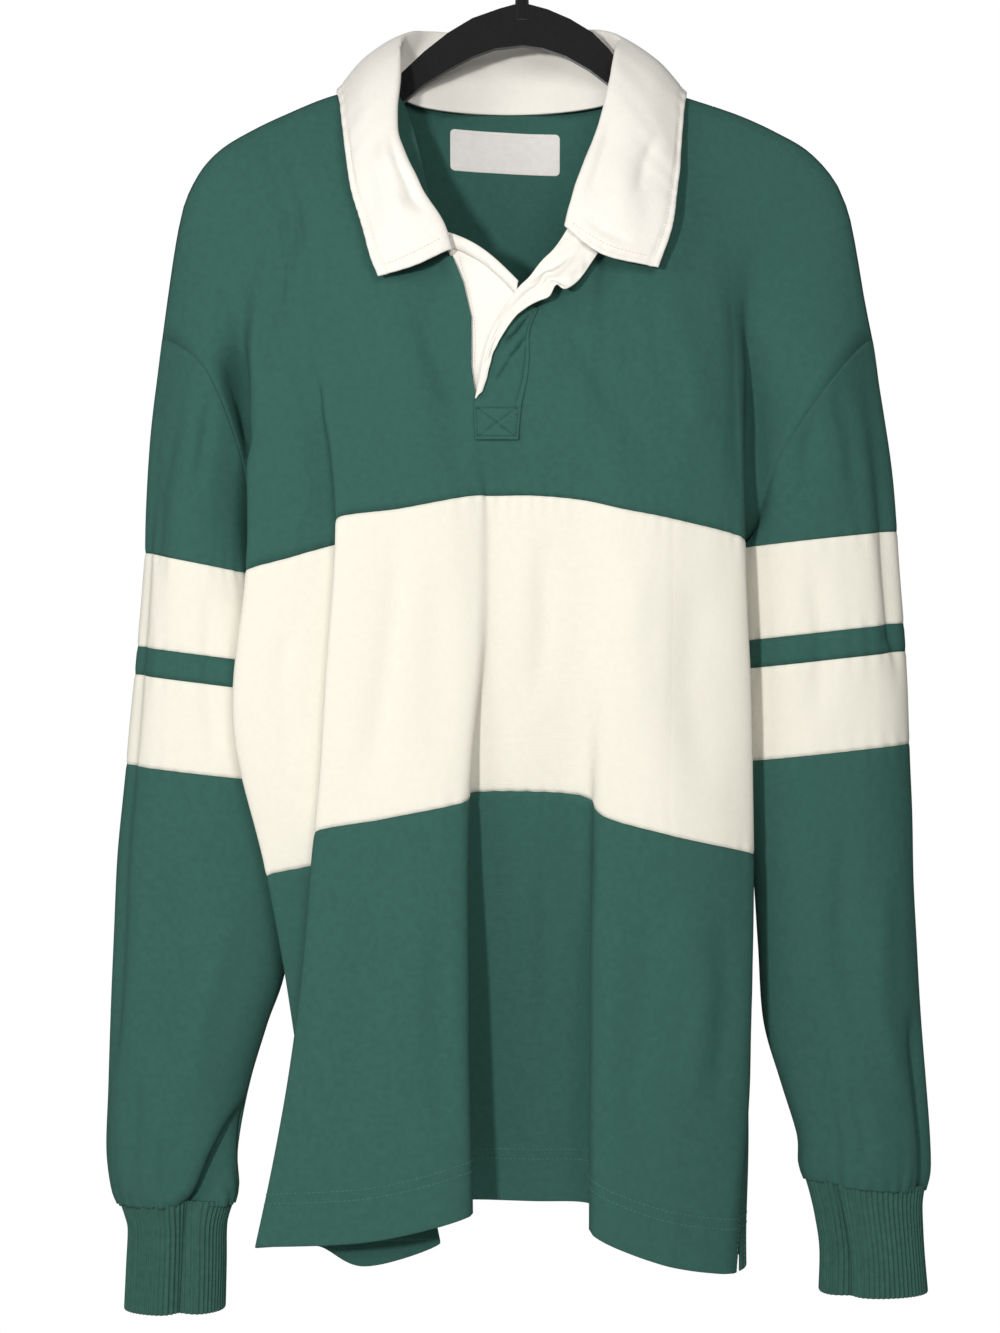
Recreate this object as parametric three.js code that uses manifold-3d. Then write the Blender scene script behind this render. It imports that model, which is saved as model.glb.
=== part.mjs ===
// A long-sleeved rugby shirt hanging on a clothes hanger, in millimetres.
// +Z is up, the shirt's front faces -Y and +X is to the right as one looks at the front.
// The origin is the seat inside the top of the hanger's hook, where a rail carries it.
import * as THREE from "three";
import { mergeVertices } from "three/addons/utils/BufferGeometryUtils.js";
import Module from "manifold-3d";

const wasm = await Module();
wasm.setup();

// Driving dimensions
const JERSEY = 1.6;
const TWILL = 2.0;
const LABEL_CLOTH = 1.0;
const SEAM_GAP = 0.3;
const LAYER_GAP = 0.4;
const RIBS = 64;
const RIB_HEIGHT = 0.45;
const CUFF_WALL = 1.9;
const ARM_THICKNESS = 6;
const ARM_UNDER_SEAM = 4.2;
const ARM_ENDS = { left: -200, right: 187 };
const HOOK_WIRE = 4;
const HOOK_INSIDE_RADIUS = 18;
const BOSS_RADIUS = 3.75;
const BOSS_TOP = -48;
const LABEL_WIDTH = 70;
const LABEL_HEIGHT = 26;
const LABEL_CENTRE = { x: -10.5, z: -147.5 };
const LABEL_TILT = -0.05;

// Cloth levels down the body: the shoulder seam, the turn over the hanger, the yoke, the
// armhole's middle, the underarm, the band's top seam, its middle, its bottom seam, hip and hem.
const LEVELS = { top: 0, brow: 1, yoke: 2, arm: 3, pit: 4, chest: 5, ribs: 6, waist: 7, hip: 8, hem: 9 };
const LAST_LEVEL = LEVELS.hem;
const ON_SEAM = 0.5;
const CENTRE_Z = { chest: -372, ribs: -462, waist: -552, hip: -680, hem: -807 };
const BROW = { out: 5, down: 4 };

// The shoulder seams, from the neck over the hanger's end and down to the sleeve.
const SHOULDERS = [
  [
    { x: -224.4, z: -271.8 }, { x: -219.8, z: -238 }, { x: -215.4, z: -209.3 }, { x: -211, z: -188.6 },
    { x: -206.3, z: -176.8 }, { x: -198.3, z: -163.5 }, { x: -186.6, z: -152 }, { x: -166.7, z: -140.2 },
    { x: -146.7, z: -130.8 }, { x: -123, z: -121 }, { x: -103, z: -115.5 }, { x: -85, z: -112 },
  ],
  [
    { x: 71, z: -112 }, { x: 88, z: -116 }, { x: 102, z: -120.5 }, { x: 136.2, z: -132 },
    { x: 160, z: -143 }, { x: 178.5, z: -154 }, { x: 195, z: -172.3 }, { x: 203, z: -190.5 },
    { x: 207.6, z: -211 }, { x: 213.6, z: -246.8 }, { x: 218.7, z: -272.3 },
  ],
];

// Fold lines of the front, from its left seam to its right one as seen from the front. Each runs
// from the shoulder or neckline to the hem. x and y are where it crosses the yoke, arm, pit,
// chest, ribs, waist, hip and hem levels; z is its height at the first three, and drop is how far
// it hangs below the centre of the cloth at the chest, waist and hem levels.
const FRONT_FOLDS = [
  {
    fold: "left seam", top: { x: -224.4 },
    x: [-196, -177, -168, -152, -143, -134, -124, -128],
    y: [-24, -12, 5, 0, -6, -3, -3, 2],
    z: [-291, -338, -385], drop: [54, 62, 28],
  },
  {
    fold: "left slit", top: { x: -214 },
    x: [-182, -171, -163, -159, -160, -146, -129, -133],
    y: [-19, -3, -15, -15, -16, -14, -12, -7],
    z: [-262, -316, -368], drop: [50, 58, 28],
  },
  {
    fold: "left edge", top: { x: -193 },
    x: [-165, -167, -168, -169, -176.5, -156.7, -137, -124],
    y: [-22, -34, -35, -32, -30, -28, -27, -19],
    z: [-225, -290, -352], drop: [45, 52, 27],
  },
  {
    fold: "side layer", top: { x: -172 },
    x: [-150, -147, -140, -138, -142, -128, -113, -99],
    y: [-26, -39, -42, -38, -37, -34, -32, -27],
    z: [-208, -281, -343], drop: [36, 45, 36.5],
  },
  {
    fold: "tuck", top: { x: -160 },
    x: [-142, -133, -112, -98, -96, -88, -74, -50],
    y: [-27, -41, -38, -34, -32, -29, -27, -26],
    z: [-202, -276, -336], drop: [22, 34, 22],
  },
  {
    fold: "pleat edge", top: { x: -148 },
    x: [-133, -121, -117, -112.7, -118.7, -125.3, -138, -162.5],
    y: [-29, -42, -47, -46, -46, -46, -48, -50],
    z: [-197, -272, -330], drop: [14, 24, 19.5],
  },
  {
    fold: "left crest", top: { x: -85 },
    x: [-86, -80, -76, -74, -78, -82, -84, -92],
    y: [-33, -46, -50, -50, -52, -55, -60, -64],
    z: [-190, -262, -322], drop: [8, 15, 13],
  },
  {
    fold: "recess left lip", top: { x: -44, y: -44, z: -226 },
    x: [-41, -38, -34, -29, -29, -34.9, -34.3, -31.7],
    y: [-46, -48, -48, -46, -46, -49, -56, -62],
    z: [-262, -300, -340], drop: [0, 5, -2],
  },
  {
    fold: "recess left corner", top: { x: -30, y: -46, z: -227 },
    x: [-29, -27, -24, -20, -20, -31, -35, -36],
    y: [-47, -49, -48, -44, -42, -35, -25, -21],
    z: [-262, -300, -339], drop: [0, 1, 0],
  },
  {
    fold: "recess floor", top: { x: 2, y: -47, z: -227 },
    x: [3, 5, 6, 8, 8, 5, 6, 7],
    y: [-48, -49, -48, -45, -42, -31, -17, -12],
    z: [-262, -300, -339], drop: [0, 0, 0],
  },
  {
    fold: "recess right corner", top: { x: 32, y: -46, z: -227 },
    x: [34, 36, 38, 38, 38, 40, 43, 43.5],
    y: [-47, -49, -49, -46, -43, -33, -19, -16],
    z: [-262, -300, -340], drop: [3, 4, 1],
  },
  {
    fold: "recess right lip", top: { x: 43, y: -44, z: -226 },
    x: [44, 49, 55, 60, 54, 47, 42.5, 42.5],
    y: [-46, -48, -49, -48, -47, -45, -54, -60],
    z: [-262, -300, -342], drop: [8, 13, 10],
  },
  {
    fold: "right crest", top: { x: 71 },
    x: [74, 79, 83, 90, 90, 88, 86, 84],
    y: [-33, -44, -48, -48, -50, -54, -62, -68],
    z: [-190, -258, -320], drop: [14, 25, 26],
  },
  {
    fold: "right edge", top: { x: 172 },
    x: [134, 134, 135, 135.5, 139.8, 141, 134, 118],
    y: [-22, -31, -33, -32, -32, -33, -45, -60],
    z: [-214, -288, -350], drop: [25, 38, 33],
  },
  {
    fold: "right slit", top: { x: 202 },
    x: [150, 142, 135, 131, 134, 136, 137.5, 125],
    y: [-17, -4, -14, -14, -16, -18, -36, -55],
    z: [-262, -325, -378], drop: [29, 40, 34],
  },
  {
    fold: "right seam", top: { x: 218.7 },
    x: [190, 160, 143, 128, 128, 129, 136.5, 130],
    y: [-24, -18, 5, 0, -2, -4, -26, -48],
    z: [-299.4, -345, -395], drop: [33, 42, 35],
  },
];

// Fold lines of the back, from its right seam round to its left one.
const BACK_FOLDS = [
  {
    fold: "right seam", top: { x: 218.7 },
    x: [190, 162, 143, 128, 128, 129, 136.5, 130],
    y: [27, 25, 5, 0, -2, -4, -26, -48],
    z: [-299.4, -345, -395], drop: [33, 42, 35],
  },
  {
    fold: "right back edge", top: { x: 202 },
    x: [166, 149, 139, 125, 125, 127, 138, 136],
    y: [24, 26, 20, 12, 11, 9, -10, -35],
    z: [-264, -325, -376], drop: [30, 40, 34],
  },
  {
    fold: "right back crest", top: { x: 160 },
    x: [140, 130, 122, 112, 112, 116, 123, 127],
    y: [25, 31, 32, 27, 29, 31, 20, 0],
    z: [-215, -285, -344], drop: [22, 32, 29],
  },
  {
    fold: "right back trough", top: { x: 71 },
    x: [76, 78, 78, 80, 82, 84, 88, 92],
    y: [30, 35, 34, 28, 22, 19, 22, 32],
    z: [-190, -258, -320], drop: [11, 18, 19],
  },
  {
    fold: "right of back centre", top: { x: 30, y: 28, z: -122.5 },
    x: [32, 34, 36, 38, 40, 40, 42, 44],
    y: [36, 40, 40, 40, 42, 44, 50, 54],
    z: [-182, -250, -314], drop: [3, 5, 6],
  },
  {
    fold: "back centre", top: { x: -7, y: 33, z: -124 },
    x: [-7, -6, -5, -4, -2, 0, 2, 2],
    y: [38, 41, 40, 35, 30, 27, 24, 22],
    z: [-182, -250, -314], drop: [0, 0, 0],
  },
  {
    fold: "left of back centre", top: { x: -45, y: 28, z: -122.5 },
    x: [-46, -46, -46, -46, -46, -46, -44, -42],
    y: [36, 41, 42, 42, 45, 48, 52, 54],
    z: [-182, -250, -314], drop: [3, 4, 4],
  },
  {
    fold: "left back trough", top: { x: -85 },
    x: [-90, -88, -86, -84, -82, -82, -82, -84],
    y: [30, 36, 36, 32, 28, 26, 24, 22],
    z: [-190, -258, -320], drop: [11, 14, 12],
  },
  {
    fold: "left back crest", top: { x: -172 },
    x: [-152, -140, -128, -120, -114, -108, -106, -110],
    y: [26, 33, 34, 32, 34, 35, 38, 38],
    z: [-215, -283, -343], drop: [30, 38, 24],
  },
  {
    fold: "left back edge", top: { x: -214 },
    x: [-182, -168, -156, -144, -137, -129, -128, -134],
    y: [25, 28, 24, 16, 12, 12, 15, 18],
    z: [-262, -318, -368], drop: [46, 54, 28],
  },
  {
    fold: "left seam", top: { x: -224.4 },
    x: [-196, -180, -168, -152, -143, -134, -124, -128],
    y: [27, 26, 5, 0, -6, -3, -3, 2],
    z: [-291, -338, -385], drop: [54, 62, 28],
  },
];

// Steps between fold lines, and the rows where the cloth is sampled, in levels.
const FRONT_STEPS = [2, 2, 2, 2, 2, 4, 3, 2, 3, 2, 2, 3, 4, 2, 2];
const BACK_STEPS = [2, 2, 3, 2, 2, 2, 2, 3, 2, 2];
const UPPER_ROWS = [0, 1, 1.5, 2, 2.35, 2.7, 3, 3.35, 3.7, 4, 4.5, 5];
const BAND_ROWS = [5, 5.4, 5.8, 6.2, 6.6, 7];
const LOWER_ROWS = [7, 7.35, 7.7, 8, 8.35, 8.7, 9];
const ARMHOLE_ROWS = UPPER_ROWS.indexOf(LEVELS.pit);

// The cut for the placket in the front panel: its left and right edges, top to bottom.
const PLACKET_LEFT = [
  { x: -46, z: -205 }, { x: -43.3, z: -224.6 }, { x: -36, z: -243 }, { x: -31, z: -264 },
  { x: -31, z: -294 }, { x: -29.4, z: -318 },
];
const PLACKET_RIGHT = [
  { x: 47, z: -205 }, { x: 43, z: -228 }, { x: 31, z: -236 }, { x: 20, z: -248 }, { x: 9.7, z: -259 },
  { x: 4.5, z: -273 }, { x: 4.5, z: -289 }, { x: 2.5, z: -304 }, { x: -0.5, z: -318 },
];
const PLACKET_CUT = { near: -90, far: -20 };

// Pieces sewn at the placket: each row is a station with its two edges, and how far the line
// between them bows upwards.
const PLACKET_UNDER = [
  { left: [-47.5, -51, -211.5], right: [-2.5, -51, -243], bow: 5 },
  { left: [-41.6, -48.5, -226], right: [-2.5, -49, -252], bow: 3 },
  { left: [-35.4, -47.5, -244], right: [-3, -47.5, -270], bow: 0 },
  { left: [-30.5, -47.5, -266], right: [-4, -47.5, -284], bow: 0 },
  { left: [-30.4, -47.5, -293], right: [-5, -47.5, -300], bow: 0 },
  { left: [-29, -47.5, -316], right: [-6, -47.5, -317], bow: 0 },
];
const PLACKET_OVER = [
  { left: [1.9, -52.5, -257.6], right: [9.2, -50.8, -259], bow: 0 },
  { left: [-7.1, -52, -268], right: [4, -50.8, -273], bow: 0 },
  { left: [-16.2, -51.5, -281], right: [4, -50.8, -288], bow: 0 },
  { left: [-20.4, -51.2, -295], right: [3, -50.8, -300], bow: 0 },
  { left: [-25, -51, -308], right: [1.2, -50.8, -309], bow: 0 },
  { left: [-29.4, -51, -317], right: [-0.5, -51, -317], bow: 0 },
  { left: [-29.2, -51, -328], right: [-1.8, -51, -328], bow: 0 },
  { left: [-28.8, -51, -338.5], right: [-2.6, -51, -338.5], bow: 0 },
];
const PLACKET_FACING = [
  { left: [-28.5, -53.3, -314], right: [-25, -53.6, -310], bow: 0 },
  { left: [-26.2, -53.3, -303], right: [-21.8, -54, -301], bow: 0 },
  { left: [-23.2, -53.4, -288], right: [-18, -55, -287], bow: 0 },
  { left: [-18, -53.6, -272], right: [-11.5, -57, -275], bow: 0 },
  { left: [-10, -54, -258], right: [-3, -59, -264], bow: 0 },
  { left: [-1.5, -54.5, -246], right: [8, -60, -257], bow: 0 },
  { left: [8, -55, -235.5], right: [20.5, -60, -251], bow: 0 },
  { left: [18, -55.5, -225], right: [33, -58, -241.5], bow: 0 },
  { left: [25.6, -54.5, -213], right: [42, -54, -229.6], bow: 0 },
];

// The collar from its left front end round the back to its right one: at each station the seam
// on the neckline, the roll where the stand turns over, and the free edge of the fall. At the
// two ends the middle of the fall sags off the straight line by x and z.
const COLLAR = [
  { at: "left end", seam: [-44, -50, -225], roll: [-47, -56, -219], edge: [-87, -54, -240.5], sag: [3, -6] },
  { at: "left corner", seam: [-50, -47, -213.5], roll: [-51, -56, -207], edge: [-91.3, -53, -230], sag: [1, -1] },
  { at: "left front", seam: [-58, -43, -200], roll: [-57.5, -54, -193], edge: [-95.3, -52, -216] },
  { at: "left chest", seam: [-75, -33, -167], roll: [-75.5, -45, -156], edge: [-104, -44, -186] },
  { at: "left shoulder front", seam: [-83, -18, -133], roll: [-76, -25, -108], edge: [-109.5, -32, -150] },
  { at: "left shoulder brow", seam: [-85, -7, -115], roll: [-75, -9, -88], edge: [-113, -15, -126] },
  { at: "left shoulder", seam: [-83, 1, -108.5], roll: [-72, 6, -79], edge: [-115, 3, -115.5] },
  { at: "left back", seam: [-62, 22, -117.5], roll: [-56, 29, -71], edge: [-88, 46, -122] },
  { at: "back centre", seam: [-7.5, 33.5, -121.5], roll: [-7.5, 41, -71], edge: [-7.5, 55, -136] },
  { at: "right back", seam: [48, 22, -117.5], roll: [44, 29, -71], edge: [76, 46, -122] },
  { at: "right shoulder", seam: [69, 1, -108.5], roll: [60, 6, -81], edge: [102, 3, -116.5] },
  { at: "right shoulder brow", seam: [70.5, -7, -115], roll: [58, -10, -93], edge: [100.5, -15, -129] },
  { at: "right shoulder front", seam: [67, -18, -133], roll: [55, -26, -114], edge: [96, -33, -166] },
  { at: "right chest", seam: [62, -33, -167], roll: [44, -43, -155], edge: [93.5, -44, -190] },
  { at: "right front", seam: [52, -43, -202], roll: [31, -53, -190], edge: [90, -49, -211] },
  { at: "right end", seam: [43, -49, -223.5], roll: [26, -56, -211], edge: [81.7, -54, -235], sag: [-8, -5] },
];
const COLLAR_STEPS = 3;
const COLLAR_ROWS = [0, 0.13, 0.25, 0.36, 0.45, 0.5, 0.55, 0.65, 0.78, 0.9, 1];
const FALL_PUFF = 4.5;
const STAND_PUFF = 1.2;

// The sleeves as rings: outer and inner are the x of their two sides, front and back their y,
// z is the height of the outer side and fall how much lower the inner side hangs.
const LEFT_SLEEVE = [
  { at: "band top", z: -404.5, fall: 14, outer: -236.5, inner: -167, front: -17, back: 38 },
  { at: "stripe top", z: -462.8, fall: 11, outer: -241.5, inner: -157, front: -17, back: 36 },
  { at: "stripe bottom", z: -480.4, fall: 11, outer: -243, inner: -155, front: -17, back: 36 },
  { at: "band bottom", z: -536.7, fall: 11, outer: -247.5, inner: -150, front: -17, back: 34 },
  { at: "elbow", z: -600, fall: 6, outer: -253, inner: -147, front: -18, back: 32 },
  { at: "forearm", z: -660, fall: 3, outer: -255.5, inner: -149, front: -20, back: 30 },
  { at: "low forearm", z: -699, fall: 1, outer: -257, inner: -160.5, front: -21, back: 29 },
  { at: "above wrist", z: -738, fall: 0, outer: -257.7, inner: -171.5, front: -22, back: 28 },
  { at: "blouse", z: -776, fall: 0, outer: -258.3, inner: -178.3, front: -23, back: 27 },
  { at: "blouse end", z: -800, fall: 0, outer: -255.3, inner: -177.6, front: -22.5, back: 25.5 },
  { at: "wrist", z: -810, fall: 0, outer: -251.3, inner: -180.2, front: -20.5, back: 24 },
];
const RIGHT_SLEEVE = [
  { at: "band top", z: -391, fall: 11, outer: 235.2, inner: 139, front: -17, back: 38 },
  { at: "stripe top", z: -448.4, fall: 11, outer: 238.4, inner: 139.5, front: -17, back: 36 },
  { at: "stripe bottom", z: -466, fall: 11, outer: 239.4, inner: 139.5, front: -17, back: 36 },
  { at: "band bottom", z: -523.6, fall: 11, outer: 242, inner: 140, front: -17, back: 34 },
  { at: "elbow", z: -596, fall: 4, outer: 244.8, inner: 146, front: -18, back: 32 },
  { at: "forearm", z: -650, fall: 0, outer: 247.2, inner: 149, front: -20, back: 30 },
  { at: "low forearm", z: -697, fall: 0, outer: 250, inner: 152, front: -21, back: 29 },
  { at: "above wrist", z: -735, fall: 0, outer: 252.6, inner: 162.5, front: -22, back: 28 },
  { at: "blouse", z: -768, fall: 0, outer: 254.3, inner: 172.5, front: -23, back: 27 },
  { at: "blouse end", z: -790, fall: -4, outer: 254.3, inner: 173.6, front: -22.5, back: 25.5 },
  { at: "wrist", z: -801, fall: -7, outer: 251.2, inner: 177, front: -20.5, back: 24 },
];
const LEFT_CUFF = [
  { at: "seam", z: -810.6, fall: 0, outer: -251.3, inner: -180.2, front: -20.5, back: 24 },
  { at: "upper", z: -826, fall: 0, outer: -245.2, inner: -186, front: -18.6, back: 21.8 },
  { at: "middle", z: -848, fall: 0, outer: -245.7, inner: -186.4, front: -19, back: 22 },
  { at: "end", z: -876, fall: 0, outer: -247.5, inner: -186.5, front: -20, back: 22 },
];
const RIGHT_CUFF = [
  { at: "seam", z: -801.6, fall: -7, outer: 251.2, inner: 177, front: -20.5, back: 24 },
  { at: "upper", z: -818, fall: -5, outer: 248.8, inner: 183.6, front: -18.6, back: 21.8 },
  { at: "middle", z: -842, fall: -2, outer: 250, inner: 187.6, front: -19, back: 22 },
  { at: "end", z: -865.5, fall: 0, outer: 250.5, inner: 187, front: -20, back: 22 },
];
// Folds pressed into the sleeves: where on the ring (0 the inner side, 0.25 the front, 0.5 the
// outer side) at the first and last ring that they reach, how wide and how deep.
const LEFT_FOLDS = [
  { first: 7, last: 10, from: 0.02, to: 0.2, width: 0.05, depth: 15 },
  { first: -1, last: 7, from: 0.43, to: 0.44, width: 0.03, depth: 3.5 },
  { first: 1, last: 9, from: 0.78, to: 0.7, width: 0.06, depth: 7 },
];
const RIGHT_FOLDS = [
  { first: -1, last: 2.6, from: 0.41, to: 0.415, width: 0.03, depth: 6 },
  { first: 5.5, last: 10, from: 0.42, to: 0.43, width: 0.028, depth: 7 },
  { first: 5, last: 10, from: 0.16, to: 0.13, width: 0.05, depth: 6 },
  { first: 1, last: 9, from: 0.72, to: 0.8, width: 0.06, depth: 7 },
];
const CUFF_FOLDS = {
  left: [{ first: -1, last: 3, from: 0.19, to: 0.235, width: 0.045, depth: 12 }],
  right: [{ first: -1, last: 3, from: 0.13, to: 0.145, width: 0.045, depth: 9 }],
};
const FOLD_RAMP = 1.2;
const SLEEVE_TOP_ROWS = 4;
const SLEEVE_BULGE = 2.5;
const SLEEVE_PARTS = [
  { name: "band_upper", rows: [0, 0.5, 1] },
  { name: "stripe", rows: [1, 2] },
  { name: "band_lower", rows: [2, 2.5, 3] },
  { name: "lower", rows: [3, 3.5, 4, 4.6, 5.2, 5.8, 6.4, 7, 7.6, 8.3, 9, 10] },
];

// The hanger's arms: the crest between the shoulder seams, and the lower edge, left to right.
// Under the shoulder seams the upper edge runs below the cloth.
const ARM_CREST = [
  { x: -86, z: -121.5 }, { x: -80, z: -121.5 }, { x: -78, z: -111 }, { x: -75, z: -105 },
  { x: -61, z: -91.8 }, { x: -46, z: -80 }, { x: -31, z: -71 },
  { x: -14, z: -65 }, { x: -5, z: -62.5 }, { x: 5, z: -62.5 }, { x: 16, z: -65.5 },
  { x: 30, z: -71.5 }, { x: 44, z: -80 }, { x: 54, z: -90 }, { x: 62, z: -101 },
  { x: 65, z: -109 }, { x: 66.5, z: -121.5 }, { x: 72, z: -121.5 },
];
const ARM_LOWER = [
  { x: -193, z: -179 }, { x: -170, z: -169 }, { x: -130, z: -152 }, { x: -90, z: -136 }, { x: -76, z: -125 },
  { x: -61, z: -112 }, { x: -46, z: -103 }, { x: -31, z: -95 }, { x: -17, z: -90 },
  { x: 0, z: -88 }, { x: 12, z: -89.5 }, { x: 27, z: -94.5 }, { x: 42, z: -103 },
  { x: 55, z: -113 }, { x: 68, z: -127 }, { x: 80, z: -134 }, { x: 120, z: -150 }, { x: 160, z: -167 },
  { x: 181, z: -178 },
];

// Colours and finishes
const GREEN = new THREE.MeshStandardMaterial({ color: 0x3c645b, roughness: 0.92, metalness: 0 });
const CREAM = new THREE.MeshStandardMaterial({ color: 0xf6f0e0, roughness: 0.92, metalness: 0 });
const WHITE = new THREE.MeshStandardMaterial({ color: 0xfaf8ee, roughness: 0.85, metalness: 0 });
const LABEL = new THREE.MeshStandardMaterial({ color: 0xded9d6, roughness: 0.7, metalness: 0 });
const BLACK = new THREE.MeshStandardMaterial({ color: 0x1c1c1d, roughness: 0.95, metalness: 0 });
const STEEL = new THREE.MeshStandardMaterial({ color: 0xb9bcc0, roughness: 0.28, metalness: 1 });

const shirt = new THREE.Group();

function addPiece(name, geometry, material) {
  const mesh = new THREE.Mesh(geometry, material);
  mesh.name = name;
  shirt.add(mesh);
}

// Grids: a grid is rows of points, each row running round the cloth and the rows going down.

const point = (xyz) => new THREE.Vector3(...xyz);
const mix = (a, b, t) => a + (b - a) * t;
const smoothstep = (t) => THREE.MathUtils.smoothstep(t, 0, 1);

function through(points) {
  return new THREE.CatmullRomCurve3(points, false, "centripetal");
}

const SEAM_CURVES = SHOULDERS.map((seam) => through(seam.map(({ x, z }) => new THREE.Vector3(x, 0, z))));
const SEAM_POINTS = SEAM_CURVES.map((curve) => curve.getPoints(100));

// The point of a shoulder seam at x, and the way from there into the cloth in the seam's plane.
function shoulderAt(x) {
  const points = SEAM_POINTS[x < 0 ? 0 : 1];
  const i = Math.max(points.slice(0, -1).findLastIndex((p) => p.x <= x), 0);
  const [a, b] = [points[i], points[i + 1]];
  const share = THREE.MathUtils.clamp((x - a.x) / (b.x - a.x), 0, 1);
  const along = b.clone().sub(a).normalize();
  return { top: a.clone().lerp(b, share), into: new THREE.Vector3(along.z, 0, -along.x) };
}

const onShoulder = (row) => row.top.z === undefined;

// The first two points of a fold line: on the seam, and where the cloth has turned over it.
function topPair(x, side) {
  const { top, into } = shoulderAt(x);
  const brow = top.clone().addScaledVector(into, BROW.down).setY(side * BROW.out);
  return [top, brow];
}

// One fold line as a curve through its levels; side is -1 on the front and 1 on the back.
function foldLine(row, side) {
  const necklinePair = () => {
    const top = new THREE.Vector3(row.top.x, row.top.y, row.top.z);
    return [top, top.clone().add(new THREE.Vector3(0, side * 1.5, -BROW.out))];
  };
  const [chest, waist, hem] = row.drop;
  const heights = [
    ...row.z,
    CENTRE_Z.chest - chest,
    CENTRE_Z.ribs - mix(chest, waist, 0.5),
    CENTRE_Z.waist - waist,
    CENTRE_Z.hip - mix(waist, hem, 0.5),
    CENTRE_Z.hem - hem,
  ];
  const below = heights.map((z, i) => new THREE.Vector3(row.x[i], row.y[i], z));
  return through([...(onShoulder(row) ? topPair(row.top.x, side) : necklinePair()), ...below]);
}

function foldGrid(folds, steps, rows, side) {
  const lines = folds.map((row) => foldLine(row, side));
  return rows.map((level) => {
    const across = through(lines.map((line) => line.getPoint(level / LAST_LEVEL)));
    const points = [];
    steps.forEach((count, i) => {
      const onHanger = level <= LEVELS.brow && onShoulder(folds[i]) && onShoulder(folds[i + 1]);
      for (let k = 0; k < count; k++) {
        const x = mix(folds[i].top.x, folds[i + 1].top.x, k / count);
        points.push(onHanger ? topPair(x, side)[level] : across.getPoint((i + k / count) / steps.length));
      }
    });
    points.push(across.getPoint(1));
    return points;
  });
}

// Normals shared by all the pieces that meet at a point, so that walls meet squarely at seams.
const normalPool = new Map();
const keyOf = (p) => [p.x, p.y, p.z].map((c) => Math.round(c * 100)).join(" ");

function poolNormals(grid, flip) {
  for (let r = 0; r + 1 < grid.length; r++) {
    for (let c = 0; c + 1 < grid[r].length; c++) {
      const corners = [grid[r][c], grid[r][c + 1], grid[r + 1][c + 1], grid[r + 1][c]];
      const one = corners[2].clone().sub(corners[0]);
      const two = corners[3].clone().sub(corners[1]);
      const normal = flip ? one.cross(two) : two.cross(one);
      for (const p of corners) {
        const key = keyOf(p);
        if (!normalPool.has(key)) normalPool.set(key, new THREE.Vector3());
        normalPool.get(key).add(normal);
      }
    }
  }
}

const normalAt = (p) => normalPool.get(keyOf(p)).clone().normalize();

// How a point on an edge moves in by half the seam's gap: square to the edge, over the cloth.
function inwards(p, before, after, inside) {
  const along = after.clone().sub(before).normalize();
  const step = inside.clone().sub(p);
  return step.addScaledVector(along, -step.dot(along)).setLength(SEAM_GAP / 2);
}

// The grid with its outer rows and columns drawn in by half the seam's gap.
function drawnIn(grid) {
  const rows = grid.length;
  const columns = grid[0].length;
  const within = (value, count) => THREE.MathUtils.clamp(value, 0, count - 1);
  const moved = grid.map((row) => row.map((p) => p.clone()));
  for (let c = 0; c < columns; c++) {
    for (const [r, inner] of [[0, 1], [rows - 1, rows - 2]]) {
      const before = grid[r][within(c - 1, columns)];
      const after = grid[r][within(c + 1, columns)];
      moved[r][c].add(inwards(grid[r][c], before, after, grid[inner][c]));
    }
  }
  for (let r = 0; r < rows; r++) {
    for (const [c, inner] of [[0, 1], [columns - 1, columns - 2]]) {
      const before = grid[within(r - 1, rows)][c];
      const after = grid[within(r + 1, rows)][c];
      moved[r][c].add(inwards(grid[r][c], before, after, grid[r][inner]));
    }
  }
  return moved;
}

// A closed wall between two grids of the same size, the second on the outer side.
function wallBetween(inner, outer, flip) {
  const rows = inner.length;
  const columns = inner[0].length;
  const positions = [...inner.flat(), ...outer.flat()].flatMap((p) => p.toArray());
  const index = [];
  const at = (side, r, c) => side * rows * columns + r * columns + c;
  const quad = (a, b, c, d) => {
    if (flip) index.push(a, c, b, a, d, c);
    else index.push(a, b, c, a, c, d);
  };
  for (let r = 0; r + 1 < rows; r++) {
    for (let c = 0; c + 1 < columns; c++) {
      quad(at(1, r, c), at(1, r + 1, c), at(1, r + 1, c + 1), at(1, r, c + 1));
      quad(at(0, r, c), at(0, r, c + 1), at(0, r + 1, c + 1), at(0, r + 1, c));
    }
    quad(at(0, r, 0), at(0, r + 1, 0), at(1, r + 1, 0), at(1, r, 0));
    const end = columns - 1;
    quad(at(0, r, end), at(1, r, end), at(1, r + 1, end), at(0, r + 1, end));
  }
  for (let c = 0; c + 1 < columns; c++) {
    quad(at(0, 0, c), at(1, 0, c), at(1, 0, c + 1), at(0, 0, c + 1));
    const end = rows - 1;
    quad(at(0, end, c), at(0, end, c + 1), at(1, end, c + 1), at(1, end, c));
  }
  const geometry = new THREE.BufferGeometry();
  geometry.setAttribute("position", new THREE.Float32BufferAttribute(positions, 3));
  geometry.setIndex(index);
  return geometry;
}

function offset(grid, normals, distance) {
  return grid.map((row, r) => row.map((p, c) => p.clone().addScaledVector(normals[r][c], distance)));
}

// A cloth wall of even thickness about a grid, its edges drawn in at the seams.
function clothWall(grid, thickness, flip) {
  const normals = grid.map((row) => row.map(normalAt));
  const middle = drawnIn(grid);
  return wallBetween(
    offset(middle, normals, -thickness / 2),
    offset(middle, normals, thickness / 2),
    flip,
  );
}

// Booleans

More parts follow.
